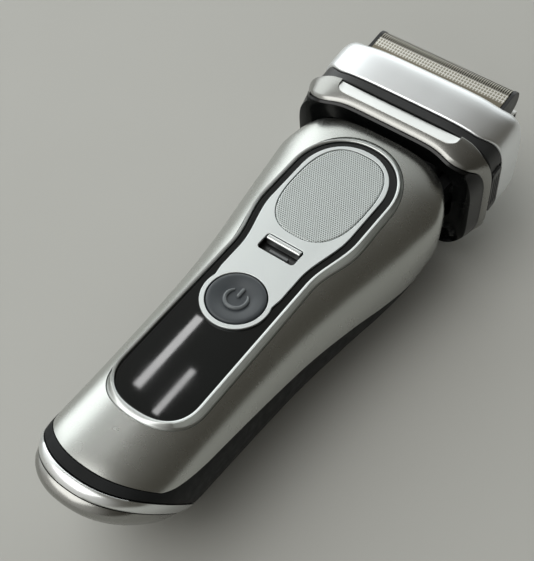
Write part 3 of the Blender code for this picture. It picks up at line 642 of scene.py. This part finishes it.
def rear_shell():
    shell = handle_skin("rear_shell", BAND_END_Y, SHOULDER_Y)
    rows = shell_rows(SHELL_END_Y - 0.00015, SHOULDER_Y) + [SHOULDER_Y + 0.0020]
    rings = [handle_ring(rows[0], 0.0080), handle_ring(rows[0], 0.0030)]
    rings += [handle_ring(y, -0.0010) for y in rows]
    rings += [handle_ring(rows[-1], 0.0030), handle_ring(rows[-1], 0.0080)]
    room = loft("front_room", rings)
    combine(room, [seam_tool(0.00015)], "INTERSECT")
    combine(shell, [room])
    bay = prism("bay", rounded_outline(0.0113, 0.0210, 0.0020, (0.0, 0.0250)), -0.01, 0.005)
    combine(shell, [bay])
    settle(shell, MATS["black_rubber"], "handle", ["rear_housing"])


def end_ring():
    start = BAND_END_Y - GAP
    profile = ((start, 0.0003), (start - 0.00012, 0.0001), (-0.0757, 0.00018), (-0.0766, 0.00045),
               (-0.0774, 0.0009), (-0.07795, 0.0013), (RING_END_Y, 0.0016), (RING_END_Y, 0.0040),
               (start, 0.0034))
    ring = loft("end_ring", [handle_ring(y, inset) for y, inset in profile], closed=True)
    settle(ring, MATS["bright_trim"], "handle", ["base_ring"], angle=60)


def socket_place():
    """Frame of the charging socket: origin on the slanted face, Y into it."""
    face_y = BASE_Y + BASE_SLANT * (FRONT_Z - SOCKET_Z)
    return Matrix.Translation((0.0, face_y, SOCKET_Z)) @ Matrix.Rotation(math.atan(BASE_SLANT), 4, "X")


def end_cap():
    top = RING_END_Y - 0.00012
    profile = ((top, 0.0108), (top, 0.0066), (top, 0.0017), (top - 0.0001, 0.00145), (-0.0788, 0.00155),
               (-0.0798, 0.0019), (-0.0807, 0.0025), (-0.0815, 0.0034), (-0.0821, 0.0045), (-0.0825, 0.0058),
               (-0.0827, 0.0070), (BASE_Y, 0.0086), (BASE_Y, 0.0108))
    cap = loft("end_cap", [handle_ring(y, inset) for y, inset in profile])
    pocket = prism("pocket", rounded_outline(0.0047, 0.0029, 0.0012), -0.0045, 0.0045, "Y")
    pocket.data.transform(socket_place())
    combine(cap, [pocket])
    settle(cap, MATS["frame_metal"], "handle", ["base_cap"], angle=50)


# ---------------------------------------------------------------- control face
def bezel():
    """Silver ridge round the window with a groove against the shell."""
    inner = inlay_outline(GAP * 0.5)
    outer = inlay_outline(0.00182, 0.0004)
    profile = ((0.0, -0.0021), (0.0, -0.00022), (0.05, -0.00005), (0.11, 0.00004), (0.25, 0.00010),
               (0.45, 0.00012), (0.65, 0.00006), (0.82, -0.00006), (0.95, -0.00022), (1.0, -0.00040))
    rings = []
    for share, rise in profile:
        ring = []
        for (xi, yi), (xo, yo) in zip(inner, outer):
            x, y = xi + (xo - xi) * share, yi + (yo - yi) * share
            ring.append((x, y, handle_top_z(x, y) + rise if share > 0.5 else FRONT_Z + rise))
        rings.append(ring)
    rings.append([(x, y, BEZEL_FLOOR) for x, y, _ in rings[-1]])
    rings.append([(x, y, BEZEL_FLOOR) for x, y, _ in rings[0]])
    ridge = loft("inlay_bezel", rings, closed=True)
    settle(ridge, MATS["bezel_metal"], "handle", ["window_bezel"], angle=70)


def window():
    plate = prism("inlay_window", inlay_outline(0.0), 0.0347, FRONT_Z - 0.0005)
    slot = prism("slot", rounded_outline(SLOT_SIZE[0] / 2, SLOT_SIZE[1] / 2, 0.0008, (0.0, SLOT_Y)),
                 *FACE_CUT)
    combine(plate, [rod("hole", BUTTON_RADIUS + GAP, 0.02, (0.0, BUTTON_Y, 0.035), "Z", 96), slot])
    bevel(plate, 0.0002)
    settle(plate, MATS["gloss_black"], "handle", ["display_window"])


def plate_outline():
    top_start = INLAY_STRAIGHT[1]
    right = []
    for k in range(41):
        angle = math.radians(-90 + 108 * k / 40)
        right.append((PLATE_RING * math.cos(angle), BUTTON_Y + PLATE_RING * math.sin(angle)))
    for k in range(1, 25):
        y = PLATE_NECK_Y + (top_start - PLATE_NECK_Y) * k / 24
        right.append((inlay_half_width(y) - PLATE_MARGIN, y))
    for k in range(1, 25):
        c, s = unit_curve(math.radians(90 * k / 24), 2.1)
        right.append(((INLAY_WIDE - PLATE_MARGIN) * c,
                      top_start + (INLAY_TOP - top_start - PLATE_MARGIN) * s))
    return right + [(-x, y) for x, y in reversed(right) if x > 1e-6]


def face_plate():
    plate = prism("face_plate", plate_outline(), FRONT_Z - 0.0005, FRONT_Z + 0.0002)
    slot = prism("slot", rounded_outline(SLOT_SIZE[0] / 2, SLOT_SIZE[1] / 2, 0.0009, (0.0, SLOT_Y)),
                 *FACE_CUT)
    room = ellipse_outline(PAD_HALF[0] + 0.00015, PAD_HALF[1] + 0.00015, (0.0, PAD_CENTRE_Y), 128,
                           PAD_POWER)
    pad = prism("pad_room", room, *FACE_CUT)
    hole = rod("hole", BUTTON_RADIUS + GAP, 0.02, (0.0, BUTTON_Y, 0.035), "Z", 96)
    combine(plate, [hole, slot, pad])
    bevel(plate, 0.00016)
    settle(plate, MATS["plate_silver"], "handle", ["control_plate"])


def thumb_pad():
    """Grip pad with a softly rolled rim."""
    rings = []
    for inset, z in ((0.0, -0.0005), (0.0, -0.00005), (0.00012, 0.00012), (0.0004, 0.00016),
                     (0.0012, 0.00012), (0.0040, 0.00010), (0.0080, 0.00010)):
        outline = ellipse_outline(PAD_HALF[0] - inset, PAD_HALF[1] - inset, (0.0, PAD_CENTRE_Y), 128,
                                  PAD_POWER)
        rings.append([(x, y, FRONT_Z + z) for x, y in outline])
    pad = loft("thumb_pad", rings)
    settle(pad, MATS["grip_mesh"], "handle", ["grip_pad"], angle=60)


def arc_tube(name, radius, tube, start, end, height):
    """Round bar bent to an arc of the plan about the button's centre."""
    rings = []
    steps = 40
    for k in range(steps + 1):
        angle = math.radians(start + (end - start) * k / steps)
        taper = tube * min(1.0, 0.55 + 3.0 * min(k, steps - k) / steps)
        ring = []
        for j in range(14):
            turn = 2 * math.pi * j / 14
            reach = radius + taper * math.cos(turn)
            ring.append((reach * math.cos(angle), BUTTON_Y + reach * math.sin(angle),
                         height + taper * math.sin(turn)))
        rings.append(ring)
    return loft(name, rings)


def button():
    """Dished round button; its symbol is a raised ring and bar, painted lighter than the button as a painted
    highlight.
    """
    top = FRONT_Z + 0.0004
    rings = []
    profile = ((0.0068, -0.0024), (0.0071, -0.0021), (0.0071, -0.0004), (0.0070, -0.00015), (0.0067, 0.0),
               (0.0060, -0.00006), (0.0050, -0.00022), (0.0041, -0.00045), (0.0034, -0.00062),
               (0.0024, -0.00070),
               (0.0008, -0.00072))
    for radius, z in profile:
        rings.append([(radius * math.cos(2 * math.pi * k / 96),
                       BUTTON_Y + radius * math.sin(2 * math.pi * k / 96),
                       top + z) for k in range(96)])
    cap = loft("button_cap", rings)
    combine(cap, [rod("stem", 0.0019, 0.0046, (0.0, BUTTON_Y, top - 0.0043), "Z", 32)], "UNION")
    settle(cap, MATS["button_grey"], "power_button", ["power_button"], angle=50)
    ring = arc_tube("symbol_ring", 0.0027, 0.00050, 132, 408, top - 0.00048)
    bar = prism("symbol_bar", rounded_outline(0.00045, 0.00140, 0.00042, (0.0, BUTTON_Y + 0.0019)),
                top - 0.0011, top - 0.00006)
    bevel(bar, 0.00028)
    symbol = join("button_symbol", [ring, bar])
    settle(symbol, MATS["symbol_painted_highlight"], "power_button", angle=60)


def slot_slider():
    carrier = bevel(block("slot_floor", (0.0128, 0.0070, 0.0011), (0.0, SLOT_Y, 0.0336)), 0.0001)
    combine(carrier, [block("tongue", (0.0030, 0.0090, 0.0012), (0.0, SLOT_Y + 0.0050, 0.0330))], "UNION")
    settle(carrier, MATS["dark_plastic"], "travel_lock", ["lock_slider"])
    bar_y = SLOT_Y + SLOT_SIZE[1] / 2 - 0.0010
    bar = prism("slot_bar", rounded_outline(0.0007, 0.0012, 0.0004, (bar_y, 0.0357), 5), -0.0048, 0.0048, "X")
    bevel(bar, 0.0002)
    rib = prism("slot_rib", rounded_outline(0.0004, 0.0005, 0.0003, (bar_y - 0.0022, 0.0346), 4),
                -0.0026, 0.0026, "X")
    settle(bar, MATS["bright_trim"], "travel_lock", ["lock_slider_bar"])
    settle(rib, MATS["grey_plastic"], "travel_lock")


# ---------------------------------------------------------------- head
def cup():
    rings = [cup_ring(y, inset) for y, inset in ((0.0480, 0.0080), (0.0481, 0.0056), (0.04825, 0.0040),
                                                 (0.0485, 0.0028), (0.0488, 0.0019))]
    rings += [edge_ring(frame_edge, inset, -shift) for inset, shift in ((0.0012, 0.0012), (0.0009, 0.0006))]
    rings += [edge_ring(frame_edge, 0.0012, -0.0002), edge_ring(frame_edge, 0.0021, -0.0002)]
    walls = ((0.0531, 0.0021), (0.0534, 0.0036), (0.0536, 0.0050), (0.0559, 0.0050), (0.0559, 0.0060))
    rings += [head_ring(y, inset) for y, inset in walls]
    rings += [cup_ring(y, inset) for y, inset in ((0.0513, 0.0060), (0.0498, 0.0064), (0.0496, 0.0080))]
    bowl = loft("head_bowl", rings, closed=True)
    settle(bowl, MATS["cup_black"], "head", ["head_cup"], HEAD_PLACE, angle=60)


def scoop_level(y):
    """Depth of the scooped strip: shallow below, deeper at the band."""
    return HEAD_Z + HEAD_HALF[1] - 0.0007 - 0.26 * (y - 0.0502)


def scoop_tool():
    outline = rounded_outline(0.0180, 0.0034, 0.0028, (0.0, 0.0535), 10)
    low = [(x, y, scoop_level(y)) for x, y in outline]
    return loft("scoop", [low, [(x, y, HEAD_Z + HEAD_HALF[1] + 0.004) for x, y in outline]])


def painted_highlight_strip():
    """Strip lying in the frame's scoop, with a fine rolled edge; its silver is painted far brighter than the
    frame's metal, a painted highlight from the light above.
    """
    rings = []
    for inset, rise in ((0.0, -0.0004), (0.0, 0.0001), (0.0001, 0.00022), (0.0003, 0.00022),
                        (0.0006, 0.00012), (0.0016, 0.00012)):
        outline = rounded_outline(0.0179 - inset, 0.0033 - inset, 0.0027 - inset, (0.0, 0.0535), 10)
        rings.append([(x, y, scoop_level(y) + rise) for x, y in outline])
    strip = loft("painted_highlight_strip", rings)
    side = block("band_side", (0.06, 0.0100, 0.03), (0.0, FRAME_Y[1] - 0.0002 + 0.0050, HEAD_Z + 0.0187))
    combine(strip, [side])
    settle(strip, MATS["strip_painted_highlight"], "head", (), HEAD_PLACE, angle=45)


def head_surround():
    """Metal surround: rolled lower edge, convex side, scooped strip under the band."""
    profile = ((0.0024, 0.0), (0.0015, 0.0), (0.00125, 0.01), (0.0011, 0.035), (0.0009, 0.08), (0.0006, 0.15),
               (0.00035, 0.42), (0.00015, 0.60), (0.00003, 0.78), (0.0, 0.95), (0.00008, 0.98), (0.0003, 1.0),
               (0.0018, 1.0))
    rings = []
    for inset, share in profile:
        rings.append([(x, frame_edge(x) + (frame_top(x) - frame_edge(x)) * share, z)
                      for x, _, z in head_ring(0.0, inset)])
    surround = loft("head_surround", rings, closed=True)
    combine(surround, [scoop_tool()])
    settle(surround, MATS["frame_metal"], "head", ["head_frame"], HEAD_PLACE, angle=32)


def cassette_band():
    inner = [head_ring(y, 0.0046) for y in (BAND_Y[1], BAND_Y[0])]
    rings = [head_ring(BAND_Y[0], 0.0012), head_ring(BAND_Y[0] + 0.0002, 0.0010)]
    rings += [edge_ring(cover_edge, inset, -GAP) for inset in (0.0010, 0.0030)]
    band = loft("cassette_band", rings + inner, closed=True)
    combine(band, [block("room", (0.0100, 0.0054, 0.0168), (sign * 0.0286, 0.0570, HEAD_Z))
                   for sign in (-1, 1)])
    settle(band, MATS["dark_plastic"], "cassette", ["cassette_frame"], HEAD_PLACE)


def release_keys():
    for side, sign in (("left", -1.0), ("right", 1.0)):
        outline = rounded_outline(0.0023, 0.0080, 0.0012, (0.0570, HEAD_Z))
        key = prism("release_key_" + side, outline, sign * 0.0251, sign * 0.0280, "X")
        ribs = [prism("rib", rounded_outline(0.0003, 0.0055, 0.00025, (0.0570 + k * 0.0011, HEAD_Z), 3),
                      sign * 0.0278, sign * 0.0300, "X") for k in (-1, 0, 1)]
        combine(key, ribs)
        bevel(key, 0.00025)
        settle(key, MATS["dark_plastic"], "release_" + side, ["release_button_" + side],
               HEAD_PLACE)


def cheek_ring(y, inset):
    """Section of the cover, which stands higher beside the ends of the foils."""
    ring = []
    for x, level, z in head_ring(y, inset):
        across = smooth_step(abs(x), CHEEK_X[0], CHEEK_X[1])
        depth = 1.0 - ((z - HEAD_Z) / HEAD_HALF[1]) ** 4
        ring.append((x, level + CHEEK_RISE * across * depth * smooth_step(y, COVER_Y[0], COVER_Y[1]), z))
    return ring


def cover():
    edge = ((0.0060, 0.0), (0.0028, 0.0), (0.0009, 0.0), (0.0006, 0.0002), (0.0005, 0.0006))
    lower = [edge_ring(cover_edge, inset, shift) for inset, shift in edge]
    profile = ((0.0630, 0.0004), (0.0645, 0.0004), (0.0660, 0.00045), (0.0672, 0.0006), (0.0681, 0.0009),
               (0.0688, 0.0013), (0.0693, 0.0018), (0.0696, 0.0024), (COVER_Y[1], 0.0032),
               (COVER_Y[1], 0.0042), (COVER_Y[1], 0.0060), (COVER_Y[1], 0.0100))
    shell = loft("cassette_shell", lower + [cheek_ring(y, inset) for y, inset in profile])
    hollow = loft("hollow", [head_ring(y, 0.0028) for y in (0.0540, 0.0681)])
    opening = prism("opening", rounded_outline(0.0234, 0.0142, 0.0020, (0.0, HEAD_Z)), 0.060, 0.080, "Y")
    combine(shell, [hollow, opening])
    settle(shell, MATS["cover_silver"], "cassette", ["cassette_cover"], HEAD_PLACE, angle=50)


def cover_gasket():
    """Dark lip between the cover's opening and the foils."""
    rings = []
    for grow, y in ((0.0, 0.0672), (0.0, 0.0697), (-0.0003, 0.0700), (-0.0009, 0.0700), (-0.0012, 0.0697),
                    (-0.0012, 0.0672)):
        outline = rounded_outline(0.0233 + grow, 0.0141 + grow, 0.0020, (0.0, HEAD_Z))
        rings.append([(x, y, z) for x, z in outline])
    gasket = loft("cover_gasket", rings, closed=True)
    settle(gasket, MATS["dark_plastic"], "cassette", (), HEAD_PLACE, angle=50)


def arch(half, top, bottom, inset=0.0, steps=20):
    radius = half - inset
    points = [(bottom, -radius)]
    for k in range(steps + 1):
        angle = math.radians(180 * k / steps)
        points.append((top - half + radius * math.sin(angle), -radius * math.cos(angle)))
    points.append((bottom, radius))
    return points


def foil_sheet(name, offset, body, node):
    """Arched foil sheet with a pattern map: along its length and round its arch."""
    low = CASSETTE_FLOOR + 0.0018
    outer = arch(FOIL_HALF_Z, FOIL_TOP, low, 0.0, 28)
    inner = arch(FOIL_HALF_Z, FOIL_TOP, low, 0.0004, 28)
    half = FOIL_HALF_X - 0.0011
    outline = [(y, HEAD_Z + offset + z) for y, z in outer + list(reversed(inner))]
    sheet = prism(name, outline, -half, half, "X")
    lengths = [0.0]
    for (a, b), (c, d) in zip(outer, outer[1:]):
        lengths.append(lengths[-1] + math.hypot(c - a, d - b))
    total = lengths[-1]
    layer = sheet.data.uv_layers.new(name="pattern")
    places = [Vector((y, HEAD_Z + offset + z)) for y, z in outer]
    for loop in sheet.data.loops:
        point = sheet.data.vertices[loop.vertex_index].co
        nearest = min(range(len(places)), key=lambda i: (places[i] - Vector((point.y, point.z))).length)
        layer.data[loop.index].uv = ((point.x + half) / (2 * half), lengths[nearest] / total)
    settle(sheet, MATS["foil_steel"], body, [node], HEAD_PLACE, angle=45)


def foil_cradle(name, offset, body, node):
    z = HEAD_Z + offset
    cradle = block(name, (2 * FOIL_HALF_X, 0.0014, 0.0074), (0.0, CASSETTE_FLOOR + 0.0007, z))
    posts = []
    for x in (-FOIL_HALF_X + 0.0005, FOIL_HALF_X - 0.0005):
        outline = [(y, z + w) for y, w in arch(0.0036, 0.0803, CASSETTE_FLOOR + 0.0003, 0.0, 16)]
        posts.append(prism("post", outline, x - 0.0005, x + 0.0005, "X"))
    combine(cradle, posts, "UNION")
    bevel(cradle, 0.0002, 2)
    settle(cradle, MATS["dark_plastic"], body, [node], HEAD_PLACE)


def cutter(name, offset, body, node):
    """Stack of thin arched blades on a beam."""
    z = HEAD_Z + offset
    half, top, low = FOIL_HALF_Z - 0.0008, FOIL_TOP - 0.0008, CASSETTE_FLOOR + 0.0026
    blades, thick = 33, 0.00045
    pitch = 2 * 0.0172 / (blades - 1)
    blade = [(y, z + w) for y, w in arch(half, top, low, 0.0, 12)]
    core = [(y, z + w) for y, w in arch(half * 0.60, top - 0.0016, low + 0.0005, 0.0, 12)]
    rings = []
    for k in range(blades):
        x = (k - (blades - 1) / 2) * pitch
        if k:
            rings.append([(x - thick / 2, y, w) for y, w in core])
        rings.append([(x - thick / 2, y, w) for y, w in blade])
        rings.append([(x + thick / 2, y, w) for y, w in blade])
        if k < blades - 1:
            rings.append([(x + thick / 2, y, w) for y, w in core])
    settle(loft(name, rings), MATS["blade_steel"], body, [node], HEAD_PLACE)


def middle_trimmer():
    """Channel with a comb of fine teeth along each edge of its top."""
    z = HEAD_Z + TRIM_OFFSET
    low = CASSETTE_FLOOR + 0.0003
    outer = ((low, -0.0021), (0.0790, -0.0021), (0.0808, -0.0013), (0.0808, 0.0013), (0.0790, 0.0021),
             (low, 0.0021))
    inner = ((low, 0.0015), (0.0787, 0.0015), (0.0802, 0.0009), (0.0802, -0.0009), (0.0787, -0.0015),
             (low, -0.0015))
    channel = prism("middle_comb", [(y, z + w) for y, w in outer + inner], -FOIL_HALF_X, FOIL_HALF_X, "X")
    slits = []
    for k in range(-24, 25):
        for sign in (-1, 1):
            slits.append(block("slit", (0.00035, 0.0030, 0.0016), (k * 0.0008, 0.0802, z + sign * 0.0017)))
    tool = join("slits", slits)
    combine(channel, [tool])
    settle(channel, MATS["blade_steel"], "float_centre", ["centre_trimmer"], HEAD_PLACE)


def guard_bar():
    z = HEAD_Z - 0.0026
    outline = [(y, z + w) for y, w in arch(0.0017, 0.0800, CASSETTE_FLOOR + 0.0003, 0.0, 16)]
    bar = prism("guard_bar", outline, -FOIL_HALF_X, FOIL_HALF_X, "X")
    grooves = [block("groove", (0.0005, 0.0016, 0.0060), (k * 0.0016, 0.0802, z)) for k in range(-12, 13)]
    combine(bar, [join("grooves", grooves)])
    bevel(bar, 0.0001, 1)
    settle(bar, MATS["grey_plastic"], "cassette", ["skin_guard"], HEAD_PLACE)


# ---------------------------------------------------------------- long-hair trimmer
def thumb_slide():
    centre = (0.0, 0.0095)
    slide = prism("thumb_slide", rounded_outline(0.0060, 0.0040, 0.0014, centre), 0.0006, 0.0036)
    bevel(slide, 0.0004)
    grooves = [block("groove", (0.0092, 0.0005, 0.0010), (0.0, centre[1] + k * 0.0013, 0.0006))
               for k in range(-2, 3)]
    combine(slide, grooves)
    settle(slide, MATS["black_rubber"], "trimmer", ["trimmer_slide"])


def trimmer_teeth():
    comb = block("comb_bar", (0.0210, 0.0034, 0.0012), (0.0, 0.0411, 0.0013))
    gaps = [block("gap", (0.0005, 0.0018, 0.0030), (k * 0.0011, 0.0423, 0.0013)) for k in range(-9, 10)]
    combine(comb, [join("gaps", gaps)])
    settle(comb, MATS["blade_steel"], "trimmer", ["trimmer_comb"])


def carried_over():
    """Procedural finishes for the CAD nodes that show as they are."""
    slots = {row["node"]: row["material_slot"] for row in frame["record"]["subparts"]}
    # painted shade: these inner parts, seen only through the gaps round the neck and head, take dark plastic
    # in place of their own finishes
    painted_gap_shade_parts = ("neck_yoke", "pivot_pin_left", "pivot_pin_right", "shoulder_deck", "head_membrane",
                   "motor_stator", "motor_coil", "drive_carriage_front", "drive_carriage_rear")
    for name, obj in frame["nodes"].items():
        mat = MATS["dark_plastic"] if name in painted_gap_shade_parts else MATS[slots[name]]
        obj.data.materials.clear()
        obj.data.materials.append(mat)


# ---------------------------------------------------------------- the stage
def floor():
    bm = bmesh.new()
    bmesh.ops.create_grid(bm, x_segments=2, y_segments=2, size=3.0)
    mesh = bpy.data.meshes.new("table_top")
    bm.to_mesh(mesh)
    bm.free()
    top = link("table_top", mesh)
    s = Shader("table_grey", (0.50, 0.50, 0.475), 0.62)
    s.colour(s.ramp(s.noise(9, 3.0), ((0.3, (0.49, 0.49, 0.465)), (0.7, (0.51, 0.51, 0.485)))))
    top.data.materials.append(s.mat)


def area_light(name, place, target, size, power, colour):
    data = bpy.data.lights.new(name, "AREA")
    data.shape = "RECTANGLE"
    data.size, data.size_y = size
    data.energy = power
    data.color = colour
    light = bpy.data.objects.new(name, data)
    bpy.context.scene.collection.objects.link(light)
    light.location = place
    light.rotation_euler = (Vector(target) - Vector(place)).to_track_quat("-Z", "Y").to_euler()


def lights():
    area_light("ceiling_light", (-0.42, -0.45, 1.20), (0.0, 0.0, 0.0), (1.0, 1.0), 6.6, (1.0, 1.0, 0.98))
    area_light("window_light", (-1.15, 0.55, 0.70), (0.0, 0.0, 0.02), (0.8, 0.9), 2.2, (0.95, 1.0, 1.0))
    area_light("tube_light", (-0.545, 0.500, 1.20), (-0.545, 0.500, 0.0), (0.013, 0.15), 0.085,
               (1.0, 1.0, 1.0))
    area_light("short_tube_light", (-0.495, 0.450, 1.20), (-0.495, 0.450, 0.0), (0.010, 0.09), 0.035,
               (1.0, 1.0, 1.0))


def lobe(tree, ray, towards, start, colour, strength):
    """Soft patch of light round one direction of the room."""
    aim = Vector(towards).normalized()
    dot = tree.nodes.new("ShaderNodeVectorMath")
    dot.operation = "DOT_PRODUCT"
    tree.links.new(ray, dot.inputs[0])
    dot.inputs[1].default_value = aim
    fade = tree.nodes.new("ShaderNodeMapRange")
    fade.interpolation_type = "SMOOTHSTEP"
    tree.links.new(dot.outputs["Value"], fade.inputs["Value"])
    fade.inputs["From Min"].default_value = start
    fade.inputs["From Max"].default_value = 1.0
    fade.inputs["To Max"].default_value = strength
    tint = tree.nodes.new("ShaderNodeVectorMath")
    tint.operation = "SCALE"
    tint.inputs[0].default_value = colour
    tree.links.new(fade.outputs["Result"], tint.inputs["Scale"])
    return tint.outputs["Vector"]


def world():
    """Dim warm room with pale soft light from the left and from beyond the head."""
    scene_world = bpy.data.worlds.new("studio")
    scene_world.use_nodes = True
    tree = scene_world.node_tree
    ray = tree.nodes.new("ShaderNodeTexCoord").outputs["Generated"]
    total = None
    for patch in (((-0.85, 0.45, 0.20), 0.55, (0.95, 1.0, 1.0), 1.9),
                  ((-0.10, 0.95, 0.30), 0.72, (0.95, 1.0, 1.0), 1.7),
                  ((-0.30, -0.80, 0.50), 0.30, (1.0, 1.0, 0.98), 0.9),
                  ((-1.0, 0.0, 0.0), -1.0, (0.50, 0.49, 0.46), 0.55)):
        part = lobe(tree, ray, *patch)
        if total is None:
            total = part
            continue
        add = tree.nodes.new("ShaderNodeVectorMath")
        tree.links.new(total, add.inputs[0])
        tree.links.new(part, add.inputs[1])
        total = add.outputs["Vector"]
    base = tree.nodes.new("ShaderNodeVectorMath")
    tree.links.new(total, base.inputs[0])
    base.inputs[1].default_value = (0.155, 0.145, 0.12)
    tree.links.new(base.outputs["Vector"], tree.nodes["Background"].inputs["Color"])
    tree.nodes["Background"].inputs["Strength"].default_value = 0.52
    bpy.context.scene.world = scene_world


def camera():
    data = bpy.data.cameras.new("camera")
    data.sensor_fit = "VERTICAL"
    data.sensor_height = 36.0
    data.lens = 70.7
    data.clip_start = 0.01
    cam = bpy.data.objects.new("camera", data)
    bpy.context.scene.collection.objects.link(cam)
    cam.location = (0.0921, -0.1346 + SHIFT, 0.2422)
    cam.rotation_euler = (math.radians(90 - 53.4), 0.0, math.radians(35.8))
    bpy.context.scene.camera = cam


def build():
    camera()
    floor()
    lights()
    world()
    carried_over()
    front_shell()
    rear_shell()
    end_ring()
    end_cap()
    bezel()
    window()
    face_plate()
    thumb_pad()
    button()
    slot_slider()
    cup()
    head_surround()
    painted_highlight_strip()
    cassette_band()
    release_keys()
    cover()
    cover_gasket()
    for place, offset in (("front", FOIL_OFFSET), ("rear", -FOIL_OFFSET)):
        foil_sheet("foil_sheet_" + place, offset, "float_" + place, "foil_" + place)
        foil_cradle("foil_carrier_" + place, offset, "float_" + place, "foil_cradle_" + place)
        cutter("blade_row_" + place, offset, "cutter_" + place, "cutter_" + place)
    middle_trimmer()
    guard_bar()
    thumb_slide()
    trimmer_teeth()


build()
bpy.context.scene.view_settings.view_transform = "Standard"
